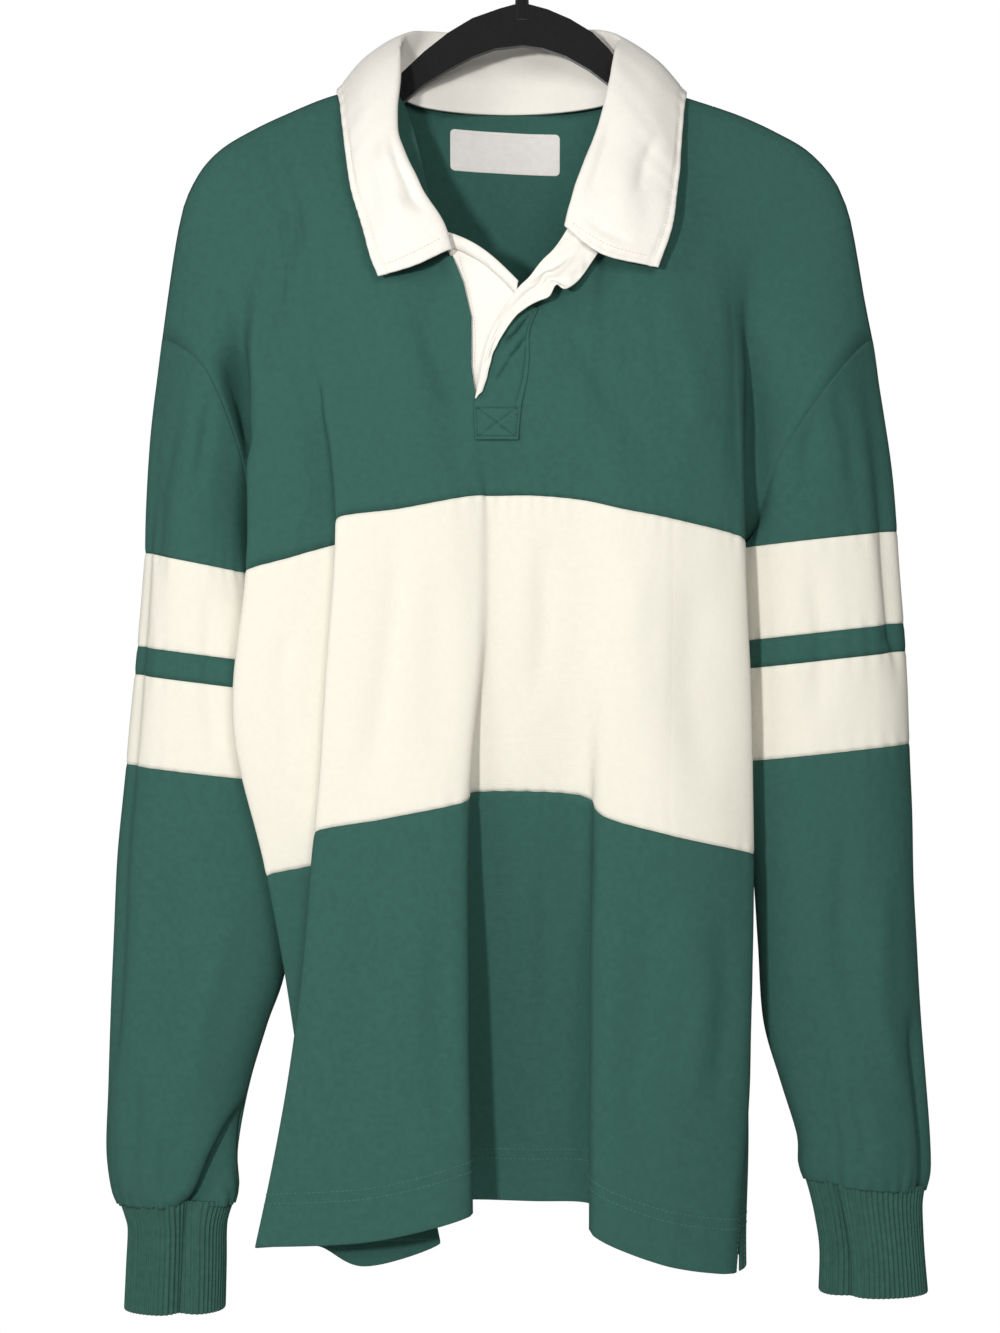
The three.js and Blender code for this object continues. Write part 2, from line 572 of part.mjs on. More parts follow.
function solidOf(geometry) {
  const bare = geometry.clone();
  bare.deleteAttribute("normal");
  bare.deleteAttribute("uv");
  const merged = mergeVertices(bare, 1e-4);
  return new wasm.Manifold(
    new wasm.Mesh({
      numProp: 3,
      vertProperties: merged.attributes.position.array,
      triVerts: new Uint32Array(merged.index.array),
    }),
  );
}

function geometryOf(solid) {
  const mesh = solid.getMesh();
  const geometry = new THREE.BufferGeometry();
  geometry.setAttribute("position", new THREE.Float32BufferAttribute(mesh.vertProperties, 3));
  geometry.setIndex(new THREE.BufferAttribute(mesh.triVerts, 1));
  return geometry;
}

// A prism along Y from a closed outline of x and z.
function prism(outline, near, far) {
  const shape = new THREE.Shape(outline.map(({ x, z }) => new THREE.Vector2(x, z)));
  const geometry = new THREE.ExtrudeGeometry(shape, { depth: far - near, bevelEnabled: false });
  return geometry.rotateX(Math.PI / 2).translate(0, far, 0);
}

// Body panels

const bodyRows = [...UPPER_ROWS, ...BAND_ROWS.slice(1), ...LOWER_ROWS.slice(1)];
const front = foldGrid(FRONT_FOLDS, FRONT_STEPS, bodyRows, -1);
const back = foldGrid(BACK_FOLDS, BACK_STEPS, bodyRows, 1);
// Below the armholes the two panels meet along the side seams, at the front's points.
for (let r = ARMHOLE_ROWS; r < bodyRows.length; r++) {
  back[r][0] = front[r].at(-1).clone();
  back[r][back[r].length - 1] = front[r][0].clone();
}
const bandStart = UPPER_ROWS.length - 1;
const lowerStart = bandStart + BAND_ROWS.length - 1;
const panelRows = {
  upper: [0, bandStart],
  band: [bandStart, lowerStart],
  lower: [lowerStart, bodyRows.length - 1],
};
const rowsOf = (grid, [first, last]) => grid.slice(first, last + 1);

// The sleeves take their first row from the armhole edges of the front and back.
function armholeLoop(frontColumn, backColumn) {
  const frontEdge = front.slice(0, ARMHOLE_ROWS + 1).map((row) => row.at(frontColumn));
  const backEdge = back.slice(1, ARMHOLE_ROWS + 1).map((row) => row.at(backColumn));
  return [...frontEdge.reverse(), ...backEdge];
}

// A value of a ring table at a fractional ring number, and a ring made from such values.
function valueAt(rings, column, at) {
  const curve = new THREE.SplineCurve(rings.map((ring, i) => new THREE.Vector2(i, ring[column])));
  return curve.getPoint(at / (rings.length - 1)).y;
}

function pressed(folds, at, share, last) {
  return folds.reduce((sum, fold) => {
    const run = THREE.MathUtils.clamp((at - fold.first) / (fold.last - fold.first), 0, 1);
    const centre = mix(fold.from, fold.to, run);
    const away = (share - centre) / fold.width;
    const rise = smoothstep((at - fold.first) / FOLD_RAMP);
    const end = fold.last >= last ? 1 : smoothstep((fold.last - at) / FOLD_RAMP);
    return sum + fold.depth * rise * end * Math.exp(-away * away);
  }, 0);
}

function ringPoint(rings, folds, at, share) {
  const value = (column) => valueAt(rings, column, at);
  const outer = value("outer");
  const inner = value("inner");
  const near = value("front");
  const far = value("back");
  const cos = Math.cos(share * 2 * Math.PI);
  const sin = Math.sin(share * 2 * Math.PI);
  const centre = new THREE.Vector2((outer + inner) / 2, (near + far) / 2);
  const flat = new THREE.Vector2(
    centre.x + ((inner - outer) / 2) * cos,
    centre.y + ((near - far) / 2) * sin * Math.pow(Math.abs(sin), -0.15),
  );
  if (Math.abs(sin) < 1e-6) flat.y = centre.y;
  const press = pressed(folds, at, share, rings.length - 1);
  flat.add(centre.clone().sub(flat).setLength(press));
  return new THREE.Vector3(flat.x, flat.y, value("z") - (value("fall") * (cos + 1)) / 2);
}

function sleeveRing(rings, folds, at, count) {
  return Array.from({ length: count + 1 }, (_, i) => ringPoint(rings, folds, at, i / count));
}

function sleeveGrids(rings, folds, armhole) {
  const columns = armhole.length - 1;
  const first = sleeveRing(rings, folds, 0, columns);
  const upper = Array.from({ length: SLEEVE_TOP_ROWS + 1 }, (_, r) => {
    const t = r / SLEEVE_TOP_ROWS;
    return armhole.map((from, c) => {
      const out = new THREE.Vector3(first[c].x - (first[0].x + first[columns / 2].x) / 2, first[c].y, 0);
      const bulge = -SLEEVE_BULGE * Math.sin(Math.PI * t) * Math.cos((2 * Math.PI * c) / columns);
      return from.clone().lerp(first[c], t).add(out.setLength(bulge));
    });
  });
  const parts = [{ name: "upper", grid: upper }];
  for (const part of SLEEVE_PARTS) {
    parts.push({ name: part.name, grid: part.rows.map((at) => sleeveRing(rings, folds, at, columns)) });
  }
  return parts;
}

const sleeves = [
  {
    side: "left", flip: true, rings: LEFT_SLEEVE, folds: LEFT_FOLDS, cuff: LEFT_CUFF,
    parts: sleeveGrids(LEFT_SLEEVE, LEFT_FOLDS, armholeLoop(0, -1)),
  },
  {
    side: "right", flip: false, rings: RIGHT_SLEEVE, folds: RIGHT_FOLDS, cuff: RIGHT_CUFF,
    parts: sleeveGrids(RIGHT_SLEEVE, RIGHT_FOLDS, armholeLoop(-1, 0)),
  },
];

poolNormals(front, false);
poolNormals(back, false);
for (const sleeve of sleeves) for (const part of sleeve.parts) poolNormals(part.grid, sleeve.flip);
// Along the shoulder seam the two panels lean apart evenly, so their shared normal has no y.
for (const p of [...front[0], ...back[0]]) {
  if (Math.abs(p.y) < ON_SEAM) normalPool.get(keyOf(p)).setY(0);
}

const placketOutline = [...PLACKET_LEFT, ...PLACKET_RIGHT.toReversed()];
const placketCut = solidOf(prism(placketOutline, PLACKET_CUT.near, PLACKET_CUT.far));

// The sleeve heads are trimmed by slightly thicker copies of the panels that they meet.
const trimmers = [front, back].map((grid) => (
  solidOf(clothWall(rowsOf(grid, panelRows.upper), JERSEY + 2 * SEAM_GAP, false))
));

function largestBody(solid) {
  return solid.decompose().reduce((a, b) => (b.volume() > a.volume() ? b : a));
}

for (const [part, range] of Object.entries(panelRows)) {
  const colour = part === "band" ? CREAM : GREEN;
  const frontWall = clothWall(rowsOf(front, range), JERSEY, false);
  const cut = part === "upper" ? geometryOf(solidOf(frontWall).subtract(placketCut)) : frontWall;
  addPiece("front_" + part, cut, colour);
  addPiece("back_" + part, clothWall(rowsOf(back, range), JERSEY, false), colour);
}

for (const { side, flip, parts } of sleeves) {
  for (const { name, grid } of parts) {
    const colour = name.startsWith("band") ? CREAM : GREEN;
    const wall = clothWall(grid, JERSEY, flip);
    const trimmed = () => geometryOf(largestBody(solidOf(wall).subtract(trimmers[0]).subtract(trimmers[1])));
    addPiece(side + "_sleeve_" + name, name === "upper" ? trimmed() : wall, colour);
  }
}

// Cuffs: a ribbed tube, its ribs standing on the outer face over a plain inside.
function ringOutward(ring, i) {
  const count = ring.length;
  const along = ring[(i + 1) % count].clone().sub(ring[(i - 1 + count) % count]);
  return new THREE.Vector3(along.y, -along.x, 0).normalize();
}

function cuffGeometry(rings, folds, flip) {
  const count = RIBS * 2;
  const levels = rings.map((_, i) => i);
  const middles = levels.map((at) => {
    const ring = sleeveRing(rings, folds, at, count);
    return ring.slice(0, count);
  });
  const turn = flip ? -1 : 1;
  const outer = middles.map((ring) => ring.map((p, i) => {
    const reach = CUFF_WALL / 2 + (i % 2 ? RIB_HEIGHT : 0);
    return p.clone().addScaledVector(ringOutward(ring, i), turn * reach);
  }));
  const inner = middles.map((ring) => ring.map((p, i) => (
    p.clone().addScaledVector(ringOutward(ring, i), (-turn * CUFF_WALL) / 2)
  )).filter((_, i) => i % 4 === 0));
  const inside = inner[0].length;
  const positions = [...outer.flat(), ...inner.flat()].flatMap((p) => p.toArray());
  const index = [];
  const face = (a, b, c) => (flip ? index.push(a, c, b) : index.push(a, b, c));
  const out = (r, i) => r * count + (i % count);
  const into = (r, i) => rings.length * count + r * inside + (i % inside);
  for (let r = 0; r + 1 < rings.length; r++) {
    for (let i = 0; i < count; i++) {
      face(out(r, i), out(r + 1, i), out(r + 1, i + 1));
      face(out(r, i), out(r + 1, i + 1), out(r, i + 1));
    }
    for (let i = 0; i < inside; i++) {
      face(into(r, i), into(r + 1, i + 1), into(r + 1, i));
      face(into(r, i), into(r, i + 1), into(r + 1, i + 1));
    }
  }
  const end = rings.length - 1;
  for (let i = 0; i < inside; i++) {
    for (let k = 0; k < 4; k++) {
      const near = k < 2 ? i : i + 1;
      face(out(0, 4 * i + k), out(0, 4 * i + k + 1), into(0, near));
      face(out(end, 4 * i + k + 1), out(end, 4 * i + k), into(end, near));
    }
    face(into(0, i), out(0, 4 * i + 2), into(0, i + 1));
    face(into(end, i + 1), out(end, 4 * i + 2), into(end, i));
  }
  const geometry = new THREE.BufferGeometry();
  geometry.setAttribute("position", new THREE.Float32BufferAttribute(positions, 3));
  geometry.setIndex(index);
  return geometry;
}

for (const { side, flip, cuff } of sleeves) {
  addPiece(side + "_cuff", cuffGeometry(cuff, CUFF_FOLDS[side], flip), GREEN);
}

// Collar: stand and fall in one wall, turned over at the roll.
function collarGrid() {
  const neckAxis = new THREE.Vector3(-7.5, 0, 0);
  const sections = COLLAR.map(({ seam, roll, edge, sag = [0, 0] }, i) => {
    const before = COLLAR[Math.max(i - 1, 0)];
    const after = COLLAR[Math.min(i + 1, COLLAR.length - 1)];
    const along = point(after.roll).sub(point(before.roll));
    const away = point(roll).sub(neckAxis).setZ(0);
    const fall = point(edge).sub(point(roll));
    const lift = along.clone().cross(fall).normalize();
    if (lift.dot(away.clone().setZ(20)) < 0) lift.negate();
    const fallMiddle = point(roll).lerp(point(edge), 0.5).addScaledVector(lift, FALL_PUFF);
    fallMiddle.add(new THREE.Vector3(sag[0], 0, sag[1]));
    const standMiddle = point(seam).lerp(point(roll), 0.5).addScaledVector(away.normalize(), STAND_PUFF);
    return through([point(seam), standMiddle, point(roll), fallMiddle, point(edge)]);
  });
  return COLLAR_ROWS.map((t) => {
    const across = through(sections.map((section) => section.getPoint(t)));
    return across.getPoints((COLLAR.length - 1) * COLLAR_STEPS);
  });
}

const collar = collarGrid();
poolNormals(collar, true);
addPiece("collar", clothWall(collar, TWILL, true), WHITE);

// Placket pieces: strips between two edges, a few steps across.
function stripGrid(stations, across) {
  return stations.map(({ left, right, bow }) => (
    Array.from({ length: across + 1 }, (_, i) => {
      const raised = new THREE.Vector3(0, 0, bow * Math.sin((Math.PI * i) / across));
      return point(left).lerp(point(right), i / across).add(raised);
    })
  ));
}

for (const [name, stations, material] of [
  ["placket_under", PLACKET_UNDER, WHITE],
  ["placket_over", PLACKET_OVER, GREEN],
  ["placket_facing", PLACKET_FACING, WHITE],
]) {
  const grid = stripGrid(stations, 4);
  poolNormals(grid, false);
  addPiece(name, clothWall(grid, JERSEY, false), material);
}

// Label: a strip on the inside of the back, made from the back's own points moved inwards.
function backDepth(x, z) {
  for (let r = 0; r + 1 < back.length; r++) {
    for (let c = 0; c + 1 < back[r].length; c++) {
      const [a, b, d, e] = [back[r][c], back[r][c + 1], back[r + 1][c + 1], back[r + 1][c]];
      for (const [p, q, s] of [[a, b, d], [a, d, e]]) {
        const area = (q.x - p.x) * (s.z - p.z) - (s.x - p.x) * (q.z - p.z);
        const u = ((x - p.x) * (s.z - p.z) - (s.x - p.x) * (z - p.z)) / area;
        const v = ((q.x - p.x) * (z - p.z) - (x - p.x) * (q.z - p.z)) / area;
        if (u >= 0 && v >= 0 && u + v <= 1) return p.y + u * (q.y - p.y) + v * (s.y - p.y);
      }
    }
  }
  return 0;
}

function labelGrid() {
  const inwards = JERSEY / 2 + LAYER_GAP + LABEL_CLOTH / 2;
  return [-0.5, 0, 0.5].map((down) => (
    Array.from({ length: 11 }, (_, i) => {
      const across = (i / 10 - 0.5) * LABEL_WIDTH;
      const x = LABEL_CENTRE.x + across;
      const z = LABEL_CENTRE.z - down * LABEL_HEIGHT + across * LABEL_TILT;
      return new THREE.Vector3(x, backDepth(x, z) - inwards, z);
    })
  ));
}

const label = labelGrid();
poolNormals(label, false);
addPiece("label", clothWall(label, LABEL_CLOTH, false), LABEL);

// Hanger: flocked arms cut from one outline, with a boss that holds the wire hook.
function hangerArms() {
  const crestEnds = [ARM_CREST[0].x, ARM_CREST.at(-1).x];
  const underSeam = front[0]
    .filter((p) => Math.abs(p.y) < ON_SEAM && p.x > ARM_ENDS.left && p.x < ARM_ENDS.right)
    .filter((p) => p.x < crestEnds[0] - 2 || p.x > crestEnds[1] + 2)
    .map((p) => p.clone().addScaledVector(shoulderAt(p.x).into, ARM_UNDER_SEAM));
  const outline = [
    ...underSeam.filter((p) => p.x < 0),
    ...ARM_CREST,
    ...underSeam.filter((p) => p.x > 0),
    ...ARM_LOWER.toReversed(),
  ];
  const arms = prism(outline, -ARM_THICKNESS / 2, ARM_THICKNESS / 2);
  const boss = new THREE.CylinderGeometry(BOSS_RADIUS, BOSS_RADIUS + 1, 24, 16);
  boss.rotateX(Math.PI / 2).translate(0, 0, BOSS_TOP - 12);
  return geometryOf(solidOf(arms).add(solidOf(boss)));
}

addPiece("hanger_arms", hangerArms(), BLACK);

function hangerHook() {
  const bend = HOOK_INSIDE_RADIUS + HOOK_WIRE / 2;
  const centre = -HOOK_INSIDE_RADIUS;
  const points = [
    new THREE.Vector3(0, 0, BOSS_TOP + LAYER_GAP),
    new THREE.Vector3(0.5, 0, centre - bend - 6),
    new THREE.Vector3(5, 0, centre - bend + 1),
  ];
  for (let degrees = -40; degrees <= 205; degrees += 35) {
    const angle = THREE.MathUtils.degToRad(degrees);
    points.push(new THREE.Vector3(bend * Math.cos(angle), 0, centre + bend * Math.sin(angle)));
  }
  const wire = new THREE.Shape().absarc(0, 0, HOOK_WIRE / 2, 0, 2 * Math.PI);
  const geometry = new THREE.ExtrudeGeometry(wire, {
    steps: 44, curveSegments: 5, bevelEnabled: false, extrudePath: through(points),
  });
  return geometryOf(solidOf(geometry));
}

addPiece("hanger_hook", hangerHook(), STEEL);

export default shirt;
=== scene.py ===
# %% [markdown]
# # A rugby shirt on its hanger
#
# The real thing is a heavy cotton jersey shirt with a woven collar, hung by its shoulders on a
# slim flocked hanger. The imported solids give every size. This lesson lays finer cloth on the
# same forms, adds the creases and stitches, and finishes each surface with its own material.
# All tables are in millimetres, because a maker measures cloth so. Meshes are in metres.

import bpy
import numpy as np
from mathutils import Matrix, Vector


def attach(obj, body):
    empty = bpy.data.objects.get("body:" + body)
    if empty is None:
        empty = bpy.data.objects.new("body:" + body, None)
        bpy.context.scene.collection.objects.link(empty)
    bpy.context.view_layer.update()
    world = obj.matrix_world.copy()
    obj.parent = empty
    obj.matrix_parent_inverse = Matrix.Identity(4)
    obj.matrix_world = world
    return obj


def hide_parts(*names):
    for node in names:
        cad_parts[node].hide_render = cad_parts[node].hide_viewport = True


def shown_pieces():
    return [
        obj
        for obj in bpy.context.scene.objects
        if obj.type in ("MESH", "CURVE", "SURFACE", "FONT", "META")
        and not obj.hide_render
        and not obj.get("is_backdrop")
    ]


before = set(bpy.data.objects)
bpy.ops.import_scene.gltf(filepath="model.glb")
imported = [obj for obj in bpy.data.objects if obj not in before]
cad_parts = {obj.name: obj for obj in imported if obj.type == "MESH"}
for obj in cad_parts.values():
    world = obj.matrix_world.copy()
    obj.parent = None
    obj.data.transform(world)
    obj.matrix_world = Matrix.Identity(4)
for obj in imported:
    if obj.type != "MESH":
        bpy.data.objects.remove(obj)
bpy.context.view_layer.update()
MM = 0.001

# %% [markdown]
# ## Camera
#
# The photograph is taken straight on, level with the shirt's middle, from about a metre and a
# half. Blender fits the sensor to the longer side of the frame, so the lens follows from the
# height that the frame covers at the shirt's plane.

# %% Camera at the photograph's place
CAMERA_DISTANCE = 1500
FRAME_HEIGHT = 833.1
FRAME_CENTRE = (-13.75, -475.5)
SENSOR = 36.0

camera_data = bpy.data.cameras.new("camera")
camera_data.sensor_width = SENSOR
camera_data.lens = SENSOR * CAMERA_DISTANCE / FRAME_HEIGHT
camera = bpy.data.objects.new("camera", camera_data)
camera.location = (FRAME_CENTRE[0] * MM, -CAMERA_DISTANCE * MM, FRAME_CENTRE[1] * MM)
camera.rotation_euler = (np.pi / 2, 0, 0)
bpy.context.scene.collection.objects.link(camera)
bpy.context.scene.camera = camera
print("lens: %.1f mm" % camera_data.lens)

# %% [markdown]
# ## Curves through the cutter's tables
#
# Each fold of the hanging cloth is a line from the shoulder to the hem. A smooth curve runs
# down each line, and a second one runs across all of them. Spacing the curve by the root of
# each step's length keeps it from looping where two folds are close.

# %% A smooth curve through points
def spline(points, at):
    """Reads a curve through points[n, ...] at places counted in points."""
    points = np.asarray(points, float)
    at = np.asarray(at, float)
    first = np.clip(np.floor(at).astype(int), 0, len(points) - 2)
    w = (at - first).reshape(-1, *[1] * (points.ndim - 1))
    ends = [2 * points[:1] - points[1:2], points, 2 * points[-1:] - points[-2:-1]]
    padded = np.concatenate(ends)
    p0, p1, p2, p3 = (padded[first + k] for k in range(4))
    d0, d1, d2 = (
        np.sqrt(np.linalg.norm(b - a, axis=-1, keepdims=True))
        for a, b in ((p0, p1), (p1, p2), (p2, p3))
    )
    d1 = np.where(d1 < 1e-4, 1, d1)
    d0 = np.where(d0 < 1e-4, d1, d0)
    d2 = np.where(d2 < 1e-4, d1, d2)
    m1 = ((p1 - p0) / d0 - (p2 - p0) / (d0 + d1) + (p2 - p1) / d1) * d1
    m2 = ((p2 - p1) / d1 - (p3 - p1) / (d1 + d2) + (p3 - p2) / d2) * d1
    return (
        p1 * (2 * w**3 - 3 * w**2 + 1)
        + m1 * (w**3 - 2 * w**2 + w)
        + p2 * (3 * w**2 - 2 * w**3)
        + m2 * (w**3 - w**2)
    )


def smooth(t):
    """Rises gently from 0 to 1 as t does."""
    t = np.clip(t, 0, 1)
    return t * t * (3 - 2 * t)


def lengths(points):
    """How far along a line of points each one lies."""
    steps = np.linalg.norm(np.diff(points, axis=0), axis=-1)
    return np.concatenate([[0], np.cumsum(steps)])


def even_steps(points, stations, step):
    """Places along stations so that the cloth between them has even steps."""
    places = [0.0]
    for i in range(stations - 1):
        inside = np.linspace(i, i + 1, 9)
        count = max(1, round(lengths(spline(points, inside))[-1] / step))
        places.extend(i + np.arange(1, count + 1) / count)
    return np.array(places)


# %% [markdown]
# ## The body's folds
#
# The front has a deep pleat down one side, a flat recess under the placket and a loose flap at
# each side of it. The back hangs in broad soft waves. Every row below is one fold: its name,
# where it starts at the shoulder or neckline, then its x and its depth y at eight levels, its
# height at the first three levels, and how far it drops at the chest, waist and hem.

# %% Fold tables
SHOULDERS = [
    [(-224.4, -271.8), (-219.8, -238), (-215.4, -209.3), (-211, -188.6), (-206.3, -176.8),
     (-198.3, -163.5), (-186.6, -152), (-166.7, -140.2), (-146.7, -130.8), (-123, -121),
     (-103, -115.5), (-85, -112)],
    [(71, -112), (88, -116), (102, -120.5), (136.2, -132), (160, -143), (178.5, -154),
     (195, -172.3), (203, -190.5), (207.6, -211), (213.6, -246.8), (218.7, -272.3)],
]
FRONT_FOLDS = [
    ("left seam", (-224.4,),
     (-196, -177, -168, -152, -143, -134, -124, -128),
     (-24, -12, 5, 0, -6, -3, -3, 2),
     (-291, -338, -385), (54, 62, 28)),
    ("left slit", (-214,),
     (-182, -171, -163, -159, -160, -146, -129, -133),
     (-19, -3, -15, -15, -16, -14, -12, -7),
     (-262, -316, -368), (50, 58, 28)),
    ("left edge", (-193,),
     (-165, -167, -168, -169, -176.5, -156.7, -137, -124),
     (-22, -34, -35, -32, -30, -28, -27, -19),
     (-225, -290, -352), (45, 52, 27)),
    ("side layer", (-172,),
     (-150, -147, -140, -138, -142, -128, -113, -99),
     (-26, -39, -42, -38, -37, -34, -32, -27),
     (-208, -281, -343), (36, 45, 36.5)),
    ("tuck", (-160,),
     (-142, -133, -112, -98, -96, -88, -74, -50),
     (-27, -41, -38, -34, -32, -29, -27, -26),
     (-202, -276, -336), (22, 34, 22)),
    ("pleat edge", (-148,),
     (-133, -121, -117, -112.7, -118.7, -125.3, -138, -162.5),
     (-29, -42, -47, -46, -46, -46, -48, -50),
     (-197, -272, -330), (14, 24, 19.5)),
    ("left crest", (-85,),
     (-86, -80, -76, -74, -78, -82, -84, -92),
     (-33, -46, -50, -50, -52, -55, -60, -64),
     (-190, -262, -322), (8, 15, 13)),
    ("recess left lip", (-44, -44, -226),
     (-41, -38, -34, -29, -29, -34.9, -34.3, -31.7),
     (-46, -48, -48, -46, -46, -49, -56, -62),
     (-262, -300, -340), (0, 5, -2)),
    ("recess left corner", (-30, -46, -227),
     (-29, -27, -24, -20, -22, -35, -40, -42),
     (-47, -49, -48, -43, -40, -30, -17, -11),
     (-262, -300, -339), (0, 1, 0)),
    ("recess floor", (2, -47, -227),
     (3, 5, 6, 8, 8, 5, 6, 7),
     (-48, -49, -48, -45, -42, -31, -17, -12),
     (-262, -300, -339), (0, 0, 0)),
    ("recess right corner", (32, -46, -227),
     (34, 36, 38, 38, 38, 40, 43, 43.5),
     (-47, -49, -49, -46, -43, -33, -19, -16),
     (-262, -300, -340), (3, 4, 1)),
    ("recess right lip", (43, -44, -226),
     (44, 49, 55, 60, 54, 47, 42.5, 42.5),
     (-46, -48, -49, -48, -47, -45, -54, -60),
     (-262, -300, -342), (8, 13, 10)),
    ("right crest", (71,),
     (74, 79, 83, 90, 90, 88, 86, 84),
     (-33, -44, -48, -48, -50, -54, -62, -68),
     (-190, -258, -320), (14, 25, 26)),
    ("right edge", (172,),
     (134, 134, 135, 135.5, 139.8, 141, 134, 118),
     (-22, -31, -33, -32, -32, -33, -45, -60),
     (-214, -288, -350), (25, 38, 33)),
    ("right slit", (202,),
     (150, 142, 135, 131, 134, 136, 137.5, 125),
     (-17, -4, -14, -14, -16, -18, -36, -55),
     (-262, -325, -378), (29, 40, 34)),
    ("right seam", (218.7,),
     (190, 160, 143, 128, 128, 129, 136.5, 130),
     (-24, -18, 5, 0, -2, -4, -26, -48),
     (-299.4, -345, -395), (33, 42, 35)),
]
BACK_FOLDS = [
    ("right seam", (218.7,),
     (190, 162, 143, 128, 128, 129, 136.5, 130),
     (27, 25, 5, 0, -2, -4, -26, -48),
     (-299.4, -345, -395), (33, 42, 35)),
    ("right back edge", (202,),
     (166, 149, 139, 125, 125, 127, 138, 136),
     (24, 26, 20, 12, 11, 9, -10, -35),
     (-264, -325, -376), (30, 40, 34)),
    ("right back crest", (160,),
     (140, 130, 122, 112, 112, 116, 123, 127),
     (25, 31, 32, 27, 29, 31, 20, 0),
     (-215, -285, -344), (22, 32, 29)),
    ("right back trough", (71,),
     (76, 78, 78, 80, 82, 84, 88, 92),
     (30, 35, 34, 28, 22, 19, 22, 32),
     (-190, -258, -320), (11, 18, 19)),
    ("right of back centre", (30, 28, -122.5),
     (32, 34, 36, 38, 40, 40, 42, 44),
     (36, 40, 40, 40, 42, 44, 50, 54),
     (-182, -250, -314), (3, 5, 6)),
    ("back centre", (-7, 33, -124),
     (-7, -6, -5, -4, -2, 0, 2, 2),
     (38, 41, 40, 35, 30, 27, 24, 22),
     (-182, -250, -314), (0, 0, 0)),
    ("left of back centre", (-45, 28, -122.5),
     (-46, -46, -46, -46, -46, -46, -44, -42),
     (36, 41, 42, 42, 45, 48, 52, 54),
     (-182, -250, -314), (3, 4, 4)),
    ("left back trough", (-85,),
     (-90, -88, -86, -84, -82, -82, -82, -84),
     (30, 36, 36, 32, 28, 26, 24, 22),
     (-190, -258, -320), (11, 14, 12)),
    ("left back crest", (-172,),
     (-152, -140, -128, -120, -114, -108, -106, -110),
     (26, 33, 34, 32, 34, 35, 38, 38),
     (-215, -283, -343), (30, 38, 24)),
    ("left back edge", (-214,),
     (-182, -168, -156, -144, -137, -129, -128, -134),
     (25, 28, 24, 16, 12, 12, 15, 18),
     (-262, -318, -368), (46, 54, 28)),
    ("left seam", (-224.4,),
     (-196, -180, -168, -152, -143, -134, -124, -128),
     (27, 26, 5, 0, -6, -3, -3, 2),
     (-291, -338, -385), (54, 62, 28)),
]
LEVEL = {"pit": 4, "chest": 5, "waist": 7}
LEVELS = 10
CENTRE_Z = {"chest": -372, "ribs": -462, "waist": -552, "hip": -680, "hem": -807}
# The second row of cloth: out from and down from the shoulder seam, and out from the neckline.
BROW_OUT, BROW_DOWN, NECK_OUT = 5, 4, 1.5
BROW_FADE = 0.5
JERSEY = 1.3
CLOTH_STEP = 2.6
print("folds:", len(FRONT_FOLDS), "in front,", len(BACK_FOLDS), "behind")

# %% [markdown]
# ## The shoulder and the panels
#
# Over the hanger the cloth turns sharply, so the first rows are taken from the shoulder seam
# itself. From the yoke down the panels follow the folds.

# %% Panels as grids of points
SEAM_POINTS = 400
MEASURED_FOLD = 7
seam_lines = []
for seam in SHOULDERS:
    corners = np.array([(x, 0, z) for x, z in seam], float)
    seam_lines.append(spline(corners, np.linspace(0, len(seam) - 1, SEAM_POINTS)))


def shoulder_pair(x, side):
    """Points on the seam at x, and where the cloth has turned over it."""
    x = np.atleast_1d(np.asarray(x, float))
    pair = np.zeros((2, len(x), 3))
    for line, here in ((seam_lines[0], x < 0), (seam_lines[1], x >= 0)):
        z = np.interp(x[here], line[:, 0], line[:, 2])
        slope = np.interp(x[here], line[:, 0], np.gradient(line[:, 2], line[:, 0]))
        size = np.hypot(1, slope)
        pair[0, here] = np.stack([x[here], 0 * z, z], -1)
        down = np.stack([slope / size, 0 * z, -1 / size], -1)
        pair[1, here] = pair[0, here] + BROW_DOWN * down
    pair[1, :, 1] = side * BROW_OUT
    return pair


def fold_lines(folds, side):
    """The folds' points as levels, folds, xyz."""
    columns = []
    for _, top, x, y, z, (chest, waist, hem) in folds:
        if len(top) == 1:
            first, second = shoulder_pair(top[0], side)[:, 0]
        else:
            first = np.array(top, float)
            second = first + (0, side * NECK_OUT, -BROW_OUT)
        below = [
            CENTRE_Z["chest"] - chest,
            CENTRE_Z["ribs"] - (chest + waist) / 2,
            CENTRE_Z["waist"] - waist,
            CENTRE_Z["hip"] - (waist + hem) / 2,
            CENTRE_Z["hem"] - hem,
        ]
        columns.append([first, second, *zip(x, y, [*z, *below])])
    return np.array(columns, float).transpose(1, 0, 2)


def panel(folds, side, levels, across):
    """The panel's surface at the given levels and places across the folds."""
    def plain(rows):
        lines = spline(fold_lines(folds, side), rows)
        return spline(lines.transpose(1, 0, 2), across).transpose(1, 0, 2)

    grid = plain(levels)
    hung = np.array([len(top) == 1 for _, top, *_ in folds])
    first = np.clip(np.floor(across).astype(int), 0, len(folds) - 2)
    over = (hung[first] & hung[first + 1])[:, None]
    top_x = np.interp(across, np.arange(len(folds)), [top[0] for _, top, *_ in folds])
    seam, brow = shoulder_pair(top_x, side)
    ends = plain(np.array([0.0, 1.0]))
    at_seam = np.where(over, seam - ends[0], 0)
    at_brow = np.where(over, brow - ends[1], 0)
    down = np.clip(levels, 0, 1)[:, None, None]
    fade = 1 - smooth((levels - 1) / BROW_FADE)[:, None, None]
    return grid + (at_seam * (1 - down) + at_brow * down) * fade


def outward(grid, flip=False):
    """The direction away from the wearer at each point."""
    down = np.gradient(grid, axis=0)
    along = np.gradient(grid, axis=1)
    normal = np.cross(down, along)
    normal /= np.linalg.norm(normal, axis=-1, keepdims=True) + 1e-12
    return -normal if flip else normal


